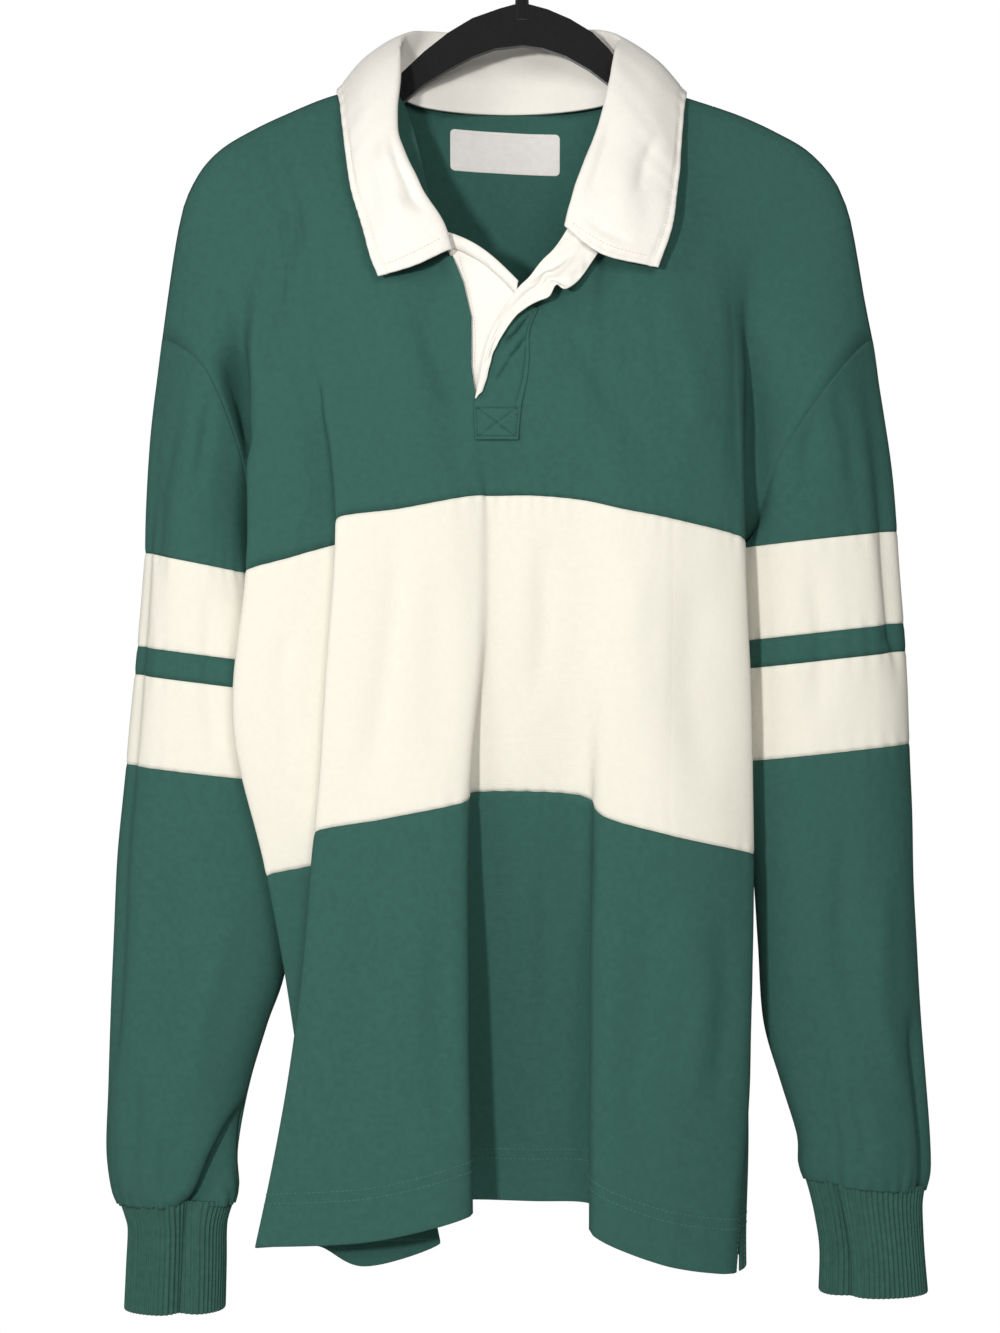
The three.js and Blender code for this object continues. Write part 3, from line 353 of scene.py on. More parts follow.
front_lines = fold_lines(FRONT_FOLDS, -1)
back_lines = fold_lines(BACK_FOLDS, 1)
LEVEL_STEPS = even_steps(front_lines[:, MEASURED_FOLD], LEVELS, CLOTH_STEP)
front_across = even_steps(front_lines[LEVEL["waist"]], len(FRONT_FOLDS), CLOTH_STEP)
back_across = even_steps(back_lines[LEVEL["waist"]], len(BACK_FOLDS), CLOTH_STEP)
front = panel(FRONT_FOLDS, -1, LEVEL_STEPS, front_across)
back = panel(BACK_FOLDS, 1, LEVEL_STEPS, back_across)
under_arm = LEVEL_STEPS >= LEVEL["pit"]
back[under_arm, 0] = front[under_arm, -1]
back[under_arm, -1] = front[under_arm, 0]
print("front grid:", front.shape[:2], "back grid:", back.shape[:2])

# %% [markdown]
# ## Sleeves and cuffs
#
# A sleeve starts as the edge of the armhole and closes to a flattened tube. The tube's rings
# come from a table of heights and widths, and long folds are pressed in along it. The cuff is
# a rib knit tube, so its ring gets a wave of sixty-four ribs.

# %% Sleeve tables
LEFT_SLEEVE = [
    ("band top", -404.5, 14, -236.5, -167, -17, 38),
    ("stripe top", -462.8, 11, -241.5, -157, -17, 36),
    ("stripe bottom", -480.4, 11, -243, -155, -17, 36),
    ("band bottom", -536.7, 11, -247.5, -150, -17, 34),
    ("elbow", -600, 6, -253, -147, -18, 32),
    ("forearm", -660, 3, -255.5, -149, -20, 30),
    ("low forearm", -699, 1, -257, -160.5, -21, 29),
    ("above wrist", -738, 0, -257.7, -171.5, -22, 28),
    ("blouse", -776, 0, -258.3, -178.3, -23, 27),
    ("blouse end", -800, 0, -255.3, -177.6, -22.5, 25.5),
    ("wrist", -810, 0, -251.5, -180, -20.5, 24),
]
RIGHT_SLEEVE = [
    ("band top", -391, 11, 235.2, 134, -17, 38),
    ("stripe top", -448.4, 11, 238.4, 139.5, -17, 36),
    ("stripe bottom", -466, 11, 239.4, 139.5, -17, 36),
    ("band bottom", -523.6, 11, 242, 140, -17, 34),
    ("elbow", -596, 4, 244.8, 146, -18, 32),
    ("forearm", -650, 0, 247.2, 149, -20, 30),
    ("low forearm", -697, 0, 250, 152, -21, 29),
    ("above wrist", -735, 0, 252.6, 162.5, -22, 28),
    ("blouse", -768, 0, 254.3, 172.5, -23, 27),
    ("blouse end", -790, -4, 254.3, 173.6, -22.5, 25.5),
    ("wrist", -802, -7, 251.3, 176.8, -20.5, 24),
]
LEFT_CUFF = [
    ("seam", -806.5, 0, -250.8, -180.8, -19.8, 23.2),
    ("top", -817.5, 0, -246.8, -184.6, -18.6, 22),
    ("upper", -827, 0, -244.8, -186.2, -18.4, 21.6),
    ("middle", -848, 0, -245.7, -186.4, -19, 22),
    ("end", -876, 0, -247, -187, -20, 22),
]
RIGHT_CUFF = [
    ("seam", -798.5, -7, 250.5, 177.6, -19.8, 23.2),
    ("top", -810, -6, 248.8, 181.4, -18.8, 22.2),
    ("upper", -824, -4, 249, 185, -18.4, 21.6),
    ("middle", -842, -2, 250, 187.8, -19, 22),
    ("end", -865.5, 0, 252, 187.2, -20, 22),
]
# Each fold: its first and last ring, its place round the ring there, its width and its depth.
LEFT_PRESSES = [
    (7, 10, 0.02, 0.2, 0.042, 18), (-1, 7, 0.43, 0.44, 0.03, 3.5), (1, 9, 0.78, 0.7, 0.06, 7),
]
RIGHT_PRESSES = [
    (-1, 2.6, 0.41, 0.415, 0.03, 6), (5.5, 10, 0.42, 0.43, 0.028, 7),
    (5, 10, 0.16, 0.13, 0.05, 6), (1, 9, 0.72, 0.8, 0.06, 7),
]
LEFT_CUFF_PRESSES = [(-1, 4, 0.19, 0.215, 0.04, 7)]
RIGHT_CUFF_PRESSES = [(-1, 4, 0.12, 0.14, 0.045, 6.5)]
PRESS_RAMP = 1.2
RING_POWER = 0.85
SLEEVE_BULGE = 2.5
SLEEVE_COLUMNS, HEAD_ROWS = 97, 52
ARMHOLE_LEVELS = [0, 1, 1.5, 2, 2.35, 2.7, 3, 3.35, 3.7, 4]


def table_curve(values, at):
    """A value of a ring table between its rings."""
    values = np.asarray(values, float)
    last = len(values) - 1
    i = np.clip(np.floor(at).astype(int), 0, last - 1)
    t = at - i
    p0, p1, p2, p3 = (values[np.clip(i + k, 0, last)] for k in (-1, 0, 1, 2))
    v0, v1 = (p2 - p0) / 2, (p3 - p1) / 2
    cubed = (2 * p1 - 2 * p2 + v0 + v1) * t**3
    return cubed + (3 * p2 - 3 * p1 - 2 * v0 - v1) * t**2 + v0 * t + p1


def tube(rings, presses, at, share):
    """Points of a sleeve at ring numbers at and places share round it."""
    columns = np.array([row[1:] for row in rings], float).T
    z, fall, outer, inner, near, far = (table_curve(c, at)[:, None] for c in columns)
    cos, sin = np.cos(2 * np.pi * share), np.sin(2 * np.pi * share)
    x = (outer + inner) / 2 + (inner - outer) / 2 * cos
    y = (near + far) / 2 + (near - far) / 2 * np.sign(sin) * np.abs(sin) ** RING_POWER
    depth = np.zeros_like(x)
    for first, last, start, end, width, deep in presses:
        run = np.clip((at - first) / (last - first), 0, 1)
        centre = (start + (end - start) * run)[:, None]
        rise = smooth((at - first) / PRESS_RAMP)
        stop = 1 if last >= len(rings) - 1 else smooth((last - at) / PRESS_RAMP)
        depth += (deep * rise * stop)[:, None] * np.exp(-(((share - centre) / width) ** 2))
    dx, dy = (outer + inner) / 2 - x, (near + far) / 2 - y
    reach = np.hypot(dx, dy) + 1e-9
    return np.stack([x + dx / reach * depth, y + dy / reach * depth, z - fall * (cos + 1) / 2], -1)


def armhole(front_place, back_place, share):
    """The armhole's edge, up the front and down the back, at places share round it."""
    row = np.abs(share - 0.5) * 2 * (len(ARMHOLE_LEVELS) - 1)
    levels = np.interp(row, np.arange(len(ARMHOLE_LEVELS)), ARMHOLE_LEVELS)
    ahead = panel(FRONT_FOLDS, -1, levels, np.array([front_place], float))[:, 0]
    behind = panel(BACK_FOLDS, 1, levels, np.array([back_place], float))[:, 0]
    return np.where((share <= 0.5)[:, None], ahead, behind)


def sleeve_head(rings, presses, edge, rows, share):
    """The sleeve from the armhole to its first ring."""
    ring = tube(rings, presses, np.array([0.0]), share)[0]
    t = np.linspace(0, 1, rows)[:, None, None]
    middle = (ring[0, 0] + ring[len(share) // 2, 0]) / 2
    out = np.stack([ring[:, 0] - middle, ring[:, 1], 0 * ring[:, 0]], -1)
    out /= np.linalg.norm(out, axis=-1, keepdims=True)
    bulge = -SLEEVE_BULGE * np.sin(np.pi * t) * np.cos(2 * np.pi * share)[:, None]
    return edge * (1 - t) + ring * t + out * bulge



share = np.linspace(0, 1, SLEEVE_COLUMNS)
last_front, last_back = len(FRONT_FOLDS) - 1, len(BACK_FOLDS) - 1
sleeves = {}
for side, rings, presses, edge, flip in (
    ("left", LEFT_SLEEVE, LEFT_PRESSES, armhole(0, last_back, share), True),
    ("right", RIGHT_SLEEVE, RIGHT_PRESSES, armhole(last_front, 0, share), False),
):
    head = sleeve_head(rings, presses, edge, HEAD_ROWS, share)
    heights = np.array([[0, 0, row[1]] for row in rings], float)
    at = even_steps(heights, len(rings), CLOTH_STEP)
    whole = np.concatenate([head[:-1], tube(rings, presses, at, share)])
    ring_at = np.concatenate([np.linspace(-1, 0, HEAD_ROWS)[:-1], at])
    sleeves[side] = {"grid": whole, "at": ring_at, "flip": flip}
    print(side, "sleeve grid:", whole.shape[:2])

# %% [markdown]
# ## Creases
#
# Heavy jersey hangs in few, soft folds. The big ones are in the tables. The lesser ones are
# troughs and ridges laid along short paths, each with its own width and depth, and
# none as long or as deep as the next. A faint unevenness on top keeps the cloth from looking
# ironed. Next to a seam the cloth dips and puckers.

# %% Creases, ripples and seam dips
CREASE_GAIN, CREASE_ENDS = 1.9, 0.3
RIPPLE_WAVES = 7
CLOTH_RIPPLES = [(85.0, 0.7), (24.0, 0.15)]
SEAM_WIDTH = 1.9
PUCKER, PUCKER_PITCH, PUCKER_REACH = 0.4, 10.0, 7.0
def along_path(points, path):
    """How far each point lies from a path, and how far along the path it is, from 0 to 1."""
    path = np.asarray(path, float)
    steps = np.linalg.norm(np.diff(path, axis=0), axis=1)
    total, done = steps.sum(), 0.0
    best = np.full(points.shape[:-1], 1e9)
    place = np.zeros(points.shape[:-1])
    for a, b, size in zip(path[:-1], path[1:], steps):
        t = np.clip(((points - a) @ (b - a)) / size**2, 0, 1)
        away = np.linalg.norm(points - (a + t[..., None] * (b - a)), axis=-1)
        nearer = away < best
        best = np.where(nearer, away, best)
        place = np.where(nearer, (done + t * size) / total, place)
        done += size
    return best, place


def creased(flat_points, creases):
    """The creases' height at each point: positive stands out, negative dips in."""
    height = np.zeros(flat_points.shape[:-1])
    for depth, width, path in creases:
        away, place = along_path(flat_points, path)
        ends = smooth(place / CREASE_ENDS) * smooth((1 - place) / CREASE_ENDS)
        height += depth * ends * np.exp(-((away / width) ** 2))
    return height


def ripple(flat_points, size, amount, seed):
    """A faint, seeded unevenness of about the given size."""
    rng = np.random.default_rng(seed)
    height = np.zeros(flat_points.shape[:-1])
    for _ in range(RIPPLE_WAVES):
        angle, phase = rng.uniform(0, np.pi), rng.uniform(0, 2 * np.pi)
        pitch = size * rng.uniform(0.7, 1.5)
        wave = flat_points @ np.array([np.cos(angle), 0.3 * np.sin(angle)])
        height += np.sin(2 * np.pi * wave / pitch + phase)
    return height * amount / np.sqrt(RIPPLE_WAVES)


def seam_dip(from_seam, along, depth):
    """The dip at a seam, and the puckers that run a little way from it."""
    away = np.abs(from_seam)
    uneven = 1 + 0.5 * np.sin(along / 37.0) + 0.3 * np.sin(along / 11.3)
    waves = np.sin(2 * np.pi * along / PUCKER_PITCH + 1.3 * np.sin(along / 23.0))
    dip = -depth * np.exp(-((away / SEAM_WIDTH) ** 2))
    return dip + PUCKER * uneven * waves * np.exp(-away / PUCKER_REACH)


def cloth_lengths(grid):
    """Each point's place in the cloth: u across at the middle row, v down its own column."""
    middle = lengths(grid[len(grid) // 2])
    u = np.broadcast_to(middle, grid.shape[:2])
    steps = np.linalg.norm(np.diff(grid, axis=0), axis=-1)
    v = np.concatenate([np.zeros((1, grid.shape[1])), np.cumsum(steps, axis=0)])
    return np.stack([u, v], -1)


FRONT_CREASES = [
    (-2.2, 3, [(-185, -278), (-177, -311), (-171.5, -335), (-169.5, -352)]),
    (-1.6, 7, [(-132, -162), (-144, -217), (-158, -271), (-166, -326)]),
    (1.4, 9, [(-117, -253), (-124, -302), (-117, -344)]),
    (-1.2, 6, [(-177, -271), (-170, -314), (-166, -356)]),
    (-1.6, 8, [(-65, -247), (-56, -284), (-32, -332)]),
    (-1.3, 9, [(23, -265), (47, -302), (71, -344)]),
    (1.1, 12, [(83, -241), (102, -290), (111, -350)]),
    (-1.4, 7, [(129, -217), (133, -271), (132, -332), (134, -387)]),
    (-1, 10, [(59, -253), (71, -326), (80, -387)]),
    (-1.3, 9, [(-74, -387), (-78, -448), (-87, -520), (-92, -569)]),
    (-1, 12, [(-56, -411), (-53, -484), (-50, -551)]),
    (-1, 8, [(11, -387), (14, -448), (8, -508)]),
    (1.1, 10, [(71, -399), (66, -460), (71, -533)]),
    (-1.2, 12, [(108, -411), (102, -484), (108, -557)]),
    (-0.9, 6, [(-141, -435), (-146, -484), (-140, -545)]),
    (-1.2, 10, [(-99, -593), (-95, -654), (-102, -727), (-104, -788)]),
    (1.2, 12, [(-68, -587), (-65, -654), (-62, -715)]),
    (-1, 8, [(-50, -618), (-53, -691), (-47, -770)]),
    (-1.4, 12, [(71, -587), (71, -654), (66, -727), (71, -800)]),
    (1, 12, [(102, -606), (108, -672), (102, -745)]),
    (-0.9, 8, [(121, -618), (122, -684), (117, -751)]),
    (-0.8, 7, [(11, -575), (15, -636), (11, -715)]),
]
BACK_CREASES = [
    (-1.6, 12, [(120, -230), (112, -300), (116, -370)]),
    (1.2, 10, [(60, -170), (78, -240), (84, -330)]),
    (-1.3, 14, [(10, -180), (16, -260), (12, -360)]),
    (-1.5, 11, [(-70, -170), (-92, -240), (-100, -330)]),
    (1.1, 12, [(-128, -220), (-134, -290), (-128, -360)]),
    (-1.1, 12, [(100, -400), (96, -470), (104, -540)]),
    (1.0, 13, [(24, -420), (20, -480), (26, -550)]),
    (-1.2, 10, [(-66, -400), (-70, -470), (-64, -560)]),
    (-1.3, 13, [(110, -600), (112, -680), (118, -780)]),
    (1.1, 12, [(66, -590), (70, -670), (64, -760)]),
    (-1.2, 12, [(-20, -600), (-16, -690), (-24, -790)]),
    (1.2, 10, [(-96, -610), (-98, -690), (-92, -800)]),
]
# Sleeve creases run in millimetres round the sleeve, from its inner side, and down in height.
LEFT_SLEEVE_CREASES = [
    (-1.6, 7, [(62, -250), (74, -310), (70, -380)]),
    (-1.2, 6, [(96, -300), (100, -370), (92, -440)]),
    (-1.1, 7, [(50, -420), (56, -480), (50, -545)]),
    (-1.4, 9, [(84, -590), (74, -660), (80, -740)]),
    (1.2, 8, [(44, -620), (52, -690), (46, -760)]),
    (-1.2, 6, [(92, -720), (88, -770), (96, -800)]),
    (-1.1, 6, [(66, -760), (62, -785), (66, -806)]),
    (-1.4, 10, [(160, -300), (168, -420), (158, -520)]),
    (-1.3, 10, [(170, -600), (176, -690), (168, -780)]),
]
RIGHT_SLEEVE_CREASES = [
    (-1.5, 7, [(58, -240), (66, -300), (60, -370)]),
    (-1.2, 6, [(84, -270), (92, -330), (88, -385)]),
    (-1.0, 7, [(54, -400), (60, -460), (54, -520)]),
    (-1.3, 9, [(70, -560), (62, -640), (68, -720)]),
    (1.2, 8, [(92, -600), (86, -680), (92, -750)]),
    (-1.2, 6, [(56, -730), (60, -770), (52, -794)]),
    (-1.4, 10, [(165, -320), (172, -430), (164, -540)]),
    (-1.3, 10, [(172, -610), (166, -700), (174, -780)]),
]


def shaped(grid, flip, flat_points, creases, seams, seed, fade):
    """The grid with its creases, ripple and seam dips, then its normals and its cloth lengths."""
    place = cloth_lengths(grid)
    height = CREASE_GAIN * creased(flat_points, creases)
    for i, (size, amount) in enumerate(CLOTH_RIPPLES):
        height = height + ripple(place, size, amount, seed + i)
    height = height * fade
    for row, depth in seams:
        height = height + seam_dip(place[..., 1] - place[row, :, 1], place[..., 0], depth)
    grid = grid + outward(grid, flip) * height[..., None]
    return grid, outward(grid, flip), place


def row_of(levels, value):
    """The row that is nearest to a level."""
    return int(np.argmin(np.abs(levels - value)))


SIDE_FADE, TOP_FADE = 6.0, 1.4
BODY_SEAM_DIP, SLEEVE_SEAM_DIP = 0.6, 0.5
chest_row, waist_row = row_of(LEVEL_STEPS, LEVEL["chest"]), row_of(LEVEL_STEPS, LEVEL["waist"])
body_seams = [(chest_row, BODY_SEAM_DIP), (waist_row, BODY_SEAM_DIP)]
bodies = {}
for name, grid, creases, seed in (
    ("front", front, FRONT_CREASES, 11), ("back", back, BACK_CREASES, 23)
):
    columns = np.arange(grid.shape[1])
    from_side = np.minimum(columns, columns[::-1])
    fade = smooth(from_side / SIDE_FADE)[None, :] * smooth(LEVEL_STEPS / TOP_FADE)[:, None]
    bodies[name] = shaped(grid, False, grid[..., (0, 2)], creases, body_seams, seed, fade)
print("creases laid:", len(FRONT_CREASES), "in front,", len(BACK_CREASES), "behind")

# %% [markdown]
# ## From a grid to cloth
#
# A maker's cloth has two faces and an edge. Each piece of the shirt is closed here as a thin
# wall about its grid, and a cut edge that shows is thinned so that it looks soft. The map of
# the surface is kept in metres of cloth, so that a weave has the same size everywhere.

# %% Closed walls
SOFT_EDGE, EDGE_THICKNESS = 0.6, 0.4
ALL_EDGES = ["top", "bottom", "left", "right"]


def soft_edge(arrays, side):
    """Adds a line of points just inside one edge, and thins the edge itself."""
    axis = 0 if side in ("top", "bottom") else 1
    turned = [np.swapaxes(a, 0, axis) for a in arrays]
    if side in ("bottom", "right"):
        turned = [a[::-1] for a in turned]
    step = np.linalg.norm(turned[0][1] - turned[0][0], axis=-1, keepdims=True)
    share_in = np.clip(SOFT_EDGE / np.maximum(step, 1e-6), 0.05, 0.5)
    grown = []
    for a in turned:
        inside = a[:1] + (a[1:2] - a[:1]) * (share_in if a.ndim == 3 else share_in[..., 0])
        grown.append(np.concatenate([a[:1], inside, a[1:]]))
    grown[3][0] *= EDGE_THICKNESS
    if side in ("bottom", "right"):
        grown = [a[::-1] for a in grown]
    return [np.swapaxes(a, 0, axis) for a in grown]


def mesh_object(name, points, faces, uv):
    """A smooth mesh in the scene, with the map of its cloth. Points and map are in metres."""
    mesh = bpy.data.meshes.new(name)
    mesh.from_pydata(points.tolist(), [], faces)
    layer = mesh.uv_layers.new(name="cloth")
    corners = np.zeros(len(mesh.loops), np.int64)
    mesh.loops.foreach_get("vertex_index", corners)
    layer.data.foreach_set("uv", uv[corners].astype(np.float32).ravel())
    mesh.polygons.foreach_set("use_smooth", np.ones(len(mesh.polygons), bool))
    mesh.update()
    piece = bpy.data.objects.new(name, mesh)
    bpy.context.scene.collection.objects.link(piece)
    return piece


def wall(name, grid, normal, place, thickness, soft=(), flip=False):
    """A closed cloth wall as a mesh object, in metres, with a map in metres of cloth."""
    arrays = [grid, normal, place, np.ones(grid.shape[:2])]
    for side in soft:
        arrays = soft_edge(arrays, side)
    grid, normal, place, full = arrays
    half = normal * full[..., None] * thickness / 2
    rows, columns = grid.shape[:2]
    points = np.concatenate([(grid + half).reshape(-1, 3), (grid - half).reshape(-1, 3)]) * MM
    index = np.arange(rows * columns).reshape(rows, columns)
    under = index + rows * columns
    quads = [
        (index[:-1, :-1], index[1:, :-1], index[1:, 1:], index[:-1, 1:]),
        (under[:-1, :-1], under[:-1, 1:], under[1:, 1:], under[1:, :-1]),
        (under[0, :-1], index[0, :-1], index[0, 1:], under[0, 1:]),
        (index[-1, :-1], under[-1, :-1], under[-1, 1:], index[-1, 1:]),
        (under[:-1, 0], under[1:, 0], index[1:, 0], index[:-1, 0]),
        (index[:-1, -1], index[1:, -1], under[1:, -1], under[:-1, -1]),
    ]
    faces = np.concatenate([np.stack(quad, -1).reshape(-1, 4) for quad in quads])
    if flip:
        faces = faces[:, ::-1]
    uv = np.concatenate([place.reshape(-1, 2)] * 2) * MM
    return mesh_object(name, points, faces.tolist(), uv)


def finish_piece(piece, material, slot, node=None):
    """Gives a piece its material and its body, and hides the solid that it stands for."""
    piece.data.materials.append(material)
    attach(piece, "root")
    if node:
        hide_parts(node)
    return piece


# %% [markdown]
# ## Finishes
#
# The jersey is a fine knit: columns of small loops, matt, with a short fuzz that catches light
# at the edges. The dye is a little uneven. The collar is twill, with fine slanting lines. The
# hanger is flocked, which swallows light. Patterns follow the cloth's own map in metres.

# %% Knit, twill and flock
def rgb(red, green, blue):
    """A colour from its usual 0 to 255 values."""
    parts = [c / 255 for c in (red, green, blue)]
    return [p / 12.92 if p <= 0.04045 else ((p + 0.055) / 1.055) ** 2.4 for p in parts] + [1]


def fill(tree, node, inputs):
    """Sets a node's inputs, each to a value or to another node's output."""
    for key, value in inputs.items():
        if isinstance(value, bpy.types.NodeSocket):
            tree.links.new(value, node.inputs[key])
        else:
            node.inputs[key].default_value = value


def add_node(tree, kind, inputs):
    """A new shader node with its inputs set."""
    node = tree.nodes.new("ShaderNode" + kind)
    fill(tree, node, inputs)
    return node


def math_node(tree, operation, *values):
    """The result of a sum, a product, a sine and the like."""
    node = tree.nodes.new("ShaderNodeMath")
    node.operation = operation
    fill(tree, node, dict(enumerate(values)))
    return node.outputs[0]


def noise(tree, scale, detail):
    """A cloudy value that is fixed to the object."""
    where = tree.nodes.new("ShaderNodeTexCoord").outputs["Object"]
    inputs = {"Scale": scale, "Detail": detail, "Vector": where}
    return add_node(tree, "TexNoise", inputs).outputs["Fac"]


def bump(tree, height, strength, distance, **below):
    """A fine relief, laid on another one where that is given as Normal."""
    inputs = {"Strength": strength, "Distance": distance, "Height": height, **below}
    return add_node(tree, "Bump", inputs).outputs[0]


def blend_colours(tree, value, colours, places=(0.0, 1.0)):
    """A colour that runs between two as a value grows."""
    ramp = add_node(tree, "ValToRGB", {"Fac": value})
    for stop, place, colour in zip(ramp.color_ramp.elements, places, colours):
        stop.position, stop.color = place, colour
    return ramp.outputs["Color"]


def surface(name, inputs):
    """A new material, with its node tree and its shader."""
    material = bpy.data.materials.new(name)
    material.use_nodes = True
    shader = material.node_tree.nodes["Principled BSDF"]
    fill(material.node_tree, shader, inputs)
    return material, material.node_tree, shader


LOOP_RATE, LOOP_SLANT = 1.25, 2.2
DYE_STOPS = (0.32, 0.68)


def cloth_material(name, colour, pattern, pitch, relief, mottle=0.10, rough=0.92):
    """A matt cloth: its pattern is knit, twill or plain, and pitch is its repeat in metres."""
    material, tree, shader = surface(name, {
        "Roughness": rough, "Specular IOR Level": 0.25, "Sheen Weight": 0.12,
        "Sheen Roughness": 0.55, "Sheen Tint": [min(1.0, 1.6 * c) for c in colour[:3]] + [1],
    })
    uv = add_node(tree, "UVMap", {})
    uv.uv_map = "cloth"
    u, v, _ = add_node(tree, "SeparateXYZ", {0: uv.outputs[0]}).outputs
    turn = 2 * np.pi / pitch

    def wave(value):
        return math_node(tree, "SINE", math_node(tree, "MULTIPLY", value, turn))

    if pattern == "knit":
        slant = math_node(tree, "ABSOLUTE", wave(u))
        down = math_node(tree, "MULTIPLY", v, turn * LOOP_RATE)
        loops = math_node(tree, "ADD", down, math_node(tree, "MULTIPLY", slant, LOOP_SLANT))
        height = math_node(tree, "ADD", math_node(tree, "SINE", loops), slant)
    elif pattern == "twill":
        height = wave(math_node(tree, "ADD", u, v))
    else:
        height = math_node(tree, "MULTIPLY", wave(u), wave(v))
    weave = bump(tree, height, relief, pitch * 0.25)
    lint = bump(tree, noise(tree, 420.0, 3.0), 0.18, 0.0006, Normal=weave)
    shades = [[min(1.0, c * k) for c in colour[:3]] + [1] for k in (1 - mottle, 1 + mottle)]
    dyed = blend_colours(tree, noise(tree, 240.0, 4.0), shades, DYE_STOPS)
    fill(tree, shader, {"Normal": lint, "Base Color": dyed})
    return material


jersey_green = cloth_material("green_jersey", rgb(48, 88, 79), "knit", 0.0011, 0.35, 0.06)
jersey_cream = cloth_material("cream_jersey", rgb(225, 221, 207), "knit", 0.0011, 0.30, 0.012)
twill_white = cloth_material("white_twill", rgb(229, 225, 216), "twill", 0.0008, 0.30, 0.015)
rib_green = cloth_material("green_rib", rgb(52, 90, 80), "knit", 0.0013, 0.45)
thread_green = cloth_material("green_thread", rgb(72, 114, 104), "plain", 0.0004, 0.4, rough=0.7)
thread_dark = cloth_material("dark_thread", rgb(38, 70, 63), "plain", 0.0004, 0.4, rough=0.7)
thread_white = cloth_material("white_thread", rgb(212, 204, 188), "plain", 0.0004, 0.4, 0.02, 0.7)
label_cloth = cloth_material("label_cloth", rgb(214, 210, 206), "plain", 0.0006, 0.35, 0.03)
print("finishes:", len(bpy.data.materials))

# %% [markdown]
# ## Stitches
#
# A row of stitches is many short threads that dip into the cloth at both ends. One stitch is
# a small spindle, and a row repeats it along a line on the cloth.

# %% A row of stitches
# Each ring of a spindle: its place along the stitch, its size and its height.
SPINDLE = [(-0.5, 0.35, -0.35), (-0.28, 1.0, 0.2), (0.28, 1.0, 0.2), (0.5, 0.35, -0.35)]
SPINDLE_SIDES = 5
AHEAD = 0.6


def read_line(values, run, at):
    """A line's point or normal at a distance along it."""
    return np.array([np.interp(at, run, values[:, k]) for k in range(3)])


def stitch_row(name, lines, material, slot, pitch=2.9, gap=0.7, radius=0.24):
    """Threads along lines of points, each line given with its normals, as one piece."""
    points, faces = [], []
    sides = range(SPINDLE_SIDES)
    turn = np.arange(SPINDLE_SIDES)[:, None] * 2 * np.pi / SPINDLE_SIDES
    for path, normal in lines:
        run = lengths(path)
        for place in np.arange(pitch / 2, run[-1], pitch):
            here, up = read_line(path, run, place), read_line(normal, run, place)
            along = read_line(path, run, place + AHEAD) - read_line(path, run, place - AHEAD)
            along /= np.linalg.norm(along) + 1e-9
            up = up - along * (up @ along)
            up /= np.linalg.norm(up) + 1e-9
            across = np.cross(along, up)
            first = len(points)
            for t, size, lift in SPINDLE:
                centre = here + along * t * (pitch - gap) + up * lift * radius * 2
                points.extend(centre + radius * size * (np.cos(turn) * across + np.sin(turn) * up))
            last = len(points) - SPINDLE_SIDES
            for ring in range(first, last, SPINDLE_SIDES):
                for k in sides:
                    a, b = ring + k, ring + (k + 1) % SPINDLE_SIDES
                    faces.append((a, b, b + SPINDLE_SIDES, a + SPINDLE_SIDES))
            faces.append(tuple(first + k for k in reversed(sides)))
            faces.append(tuple(last + k for k in sides))
    points = np.array(points) * MM
    piece = mesh_object(name, points, faces, points[:, (0, 2)])
    print("%-26s %4d stitches" % (name, len(points) // (len(SPINDLE) * SPINDLE_SIDES)))
    return finish_piece(piece, material, slot)


def across_line(grid, normal, place, distance, lift, columns=slice(None)):
    """The line at a distance up from the grid's lower edge, standing on the cloth."""
    v = place[..., 1]
    column = np.arange(v.shape[1])
    rows = np.array([np.interp(v[-1, c] - distance, v[:, c], np.arange(len(v))) for c in column])
    low = np.clip(np.floor(rows).astype(int), 0, len(v) - 2)
    t = (rows - low)[:, None]
    point, away = (a[low, column] * (1 - t) + a[low + 1, column] * t for a in (grid, normal))
    return (point + away * lift)[columns], away[columns]


# %% [markdown]
# ## The body's pieces
#
# Front and back are each cut in three: the yoke and chest, the cream band, and the skirt. The
# side seams open in a short vent at the hem. Two rows of stitches run round the hem.

# %% Panels, hem and vents
VENT, VENT_GAP, VENT_COLUMNS = 34.0, 3.0, 3
VENT_STITCH_HEIGHT = 52.0
HEM_ROWS = (26.5, 32.5)
panel_rows = {
    "upper": slice(0, chest_row + 1),
    "band": slice(chest_row, waist_row + 1),
    "lower": slice(waist_row, None),
}


def jersey_of(part):
    """The jersey of a part, and its slot. The bands are cream."""
    if part.startswith("band"):
        return jersey_cream, "jersey_cream"
    return jersey_green, "jersey_green"


cloth_pieces = {}
for name, (grid, normal, place) in bodies.items():
    up_from_hem = place[-1:, :, 1] - place[..., 1]
    opened = smooth(1 - up_from_hem / VENT) * VENT_GAP
    for edge, sign in ((0, 1), (-1, -1)):
        towards = grid[:, edge + sign * VENT_COLUMNS] - grid[:, edge]
        towards /= np.linalg.norm(towards, axis=-1, keepdims=True)
        for step in range(VENT_COLUMNS):
            column = edge + sign * step
            pull = opened[:, column] * (1 - step / VENT_COLUMNS)
            grid[:, column] += towards * pull[:, None]
    for part, rows in panel_rows.items():
        soft = ["bottom"] if part == "lower" else []
        node = "%s_%s" % (name, part)
        piece = wall("cloth_" + node, grid[rows], normal[rows], place[rows], JERSEY, soft)
        finish_piece(piece, *jersey_of(part), node)
        cloth_pieces[name, part] = (piece, grid[rows], place[rows])

for name, body in bodies.items():
    lines = [across_line(*body, distance, JERSEY / 2) for distance in HEM_ROWS]
    hem = stitch_row("stitches_%s_hem" % name, lines, thread_green, "jersey_green")
    for part in panel_rows:
        stitches = [hem] if part == "lower" else []

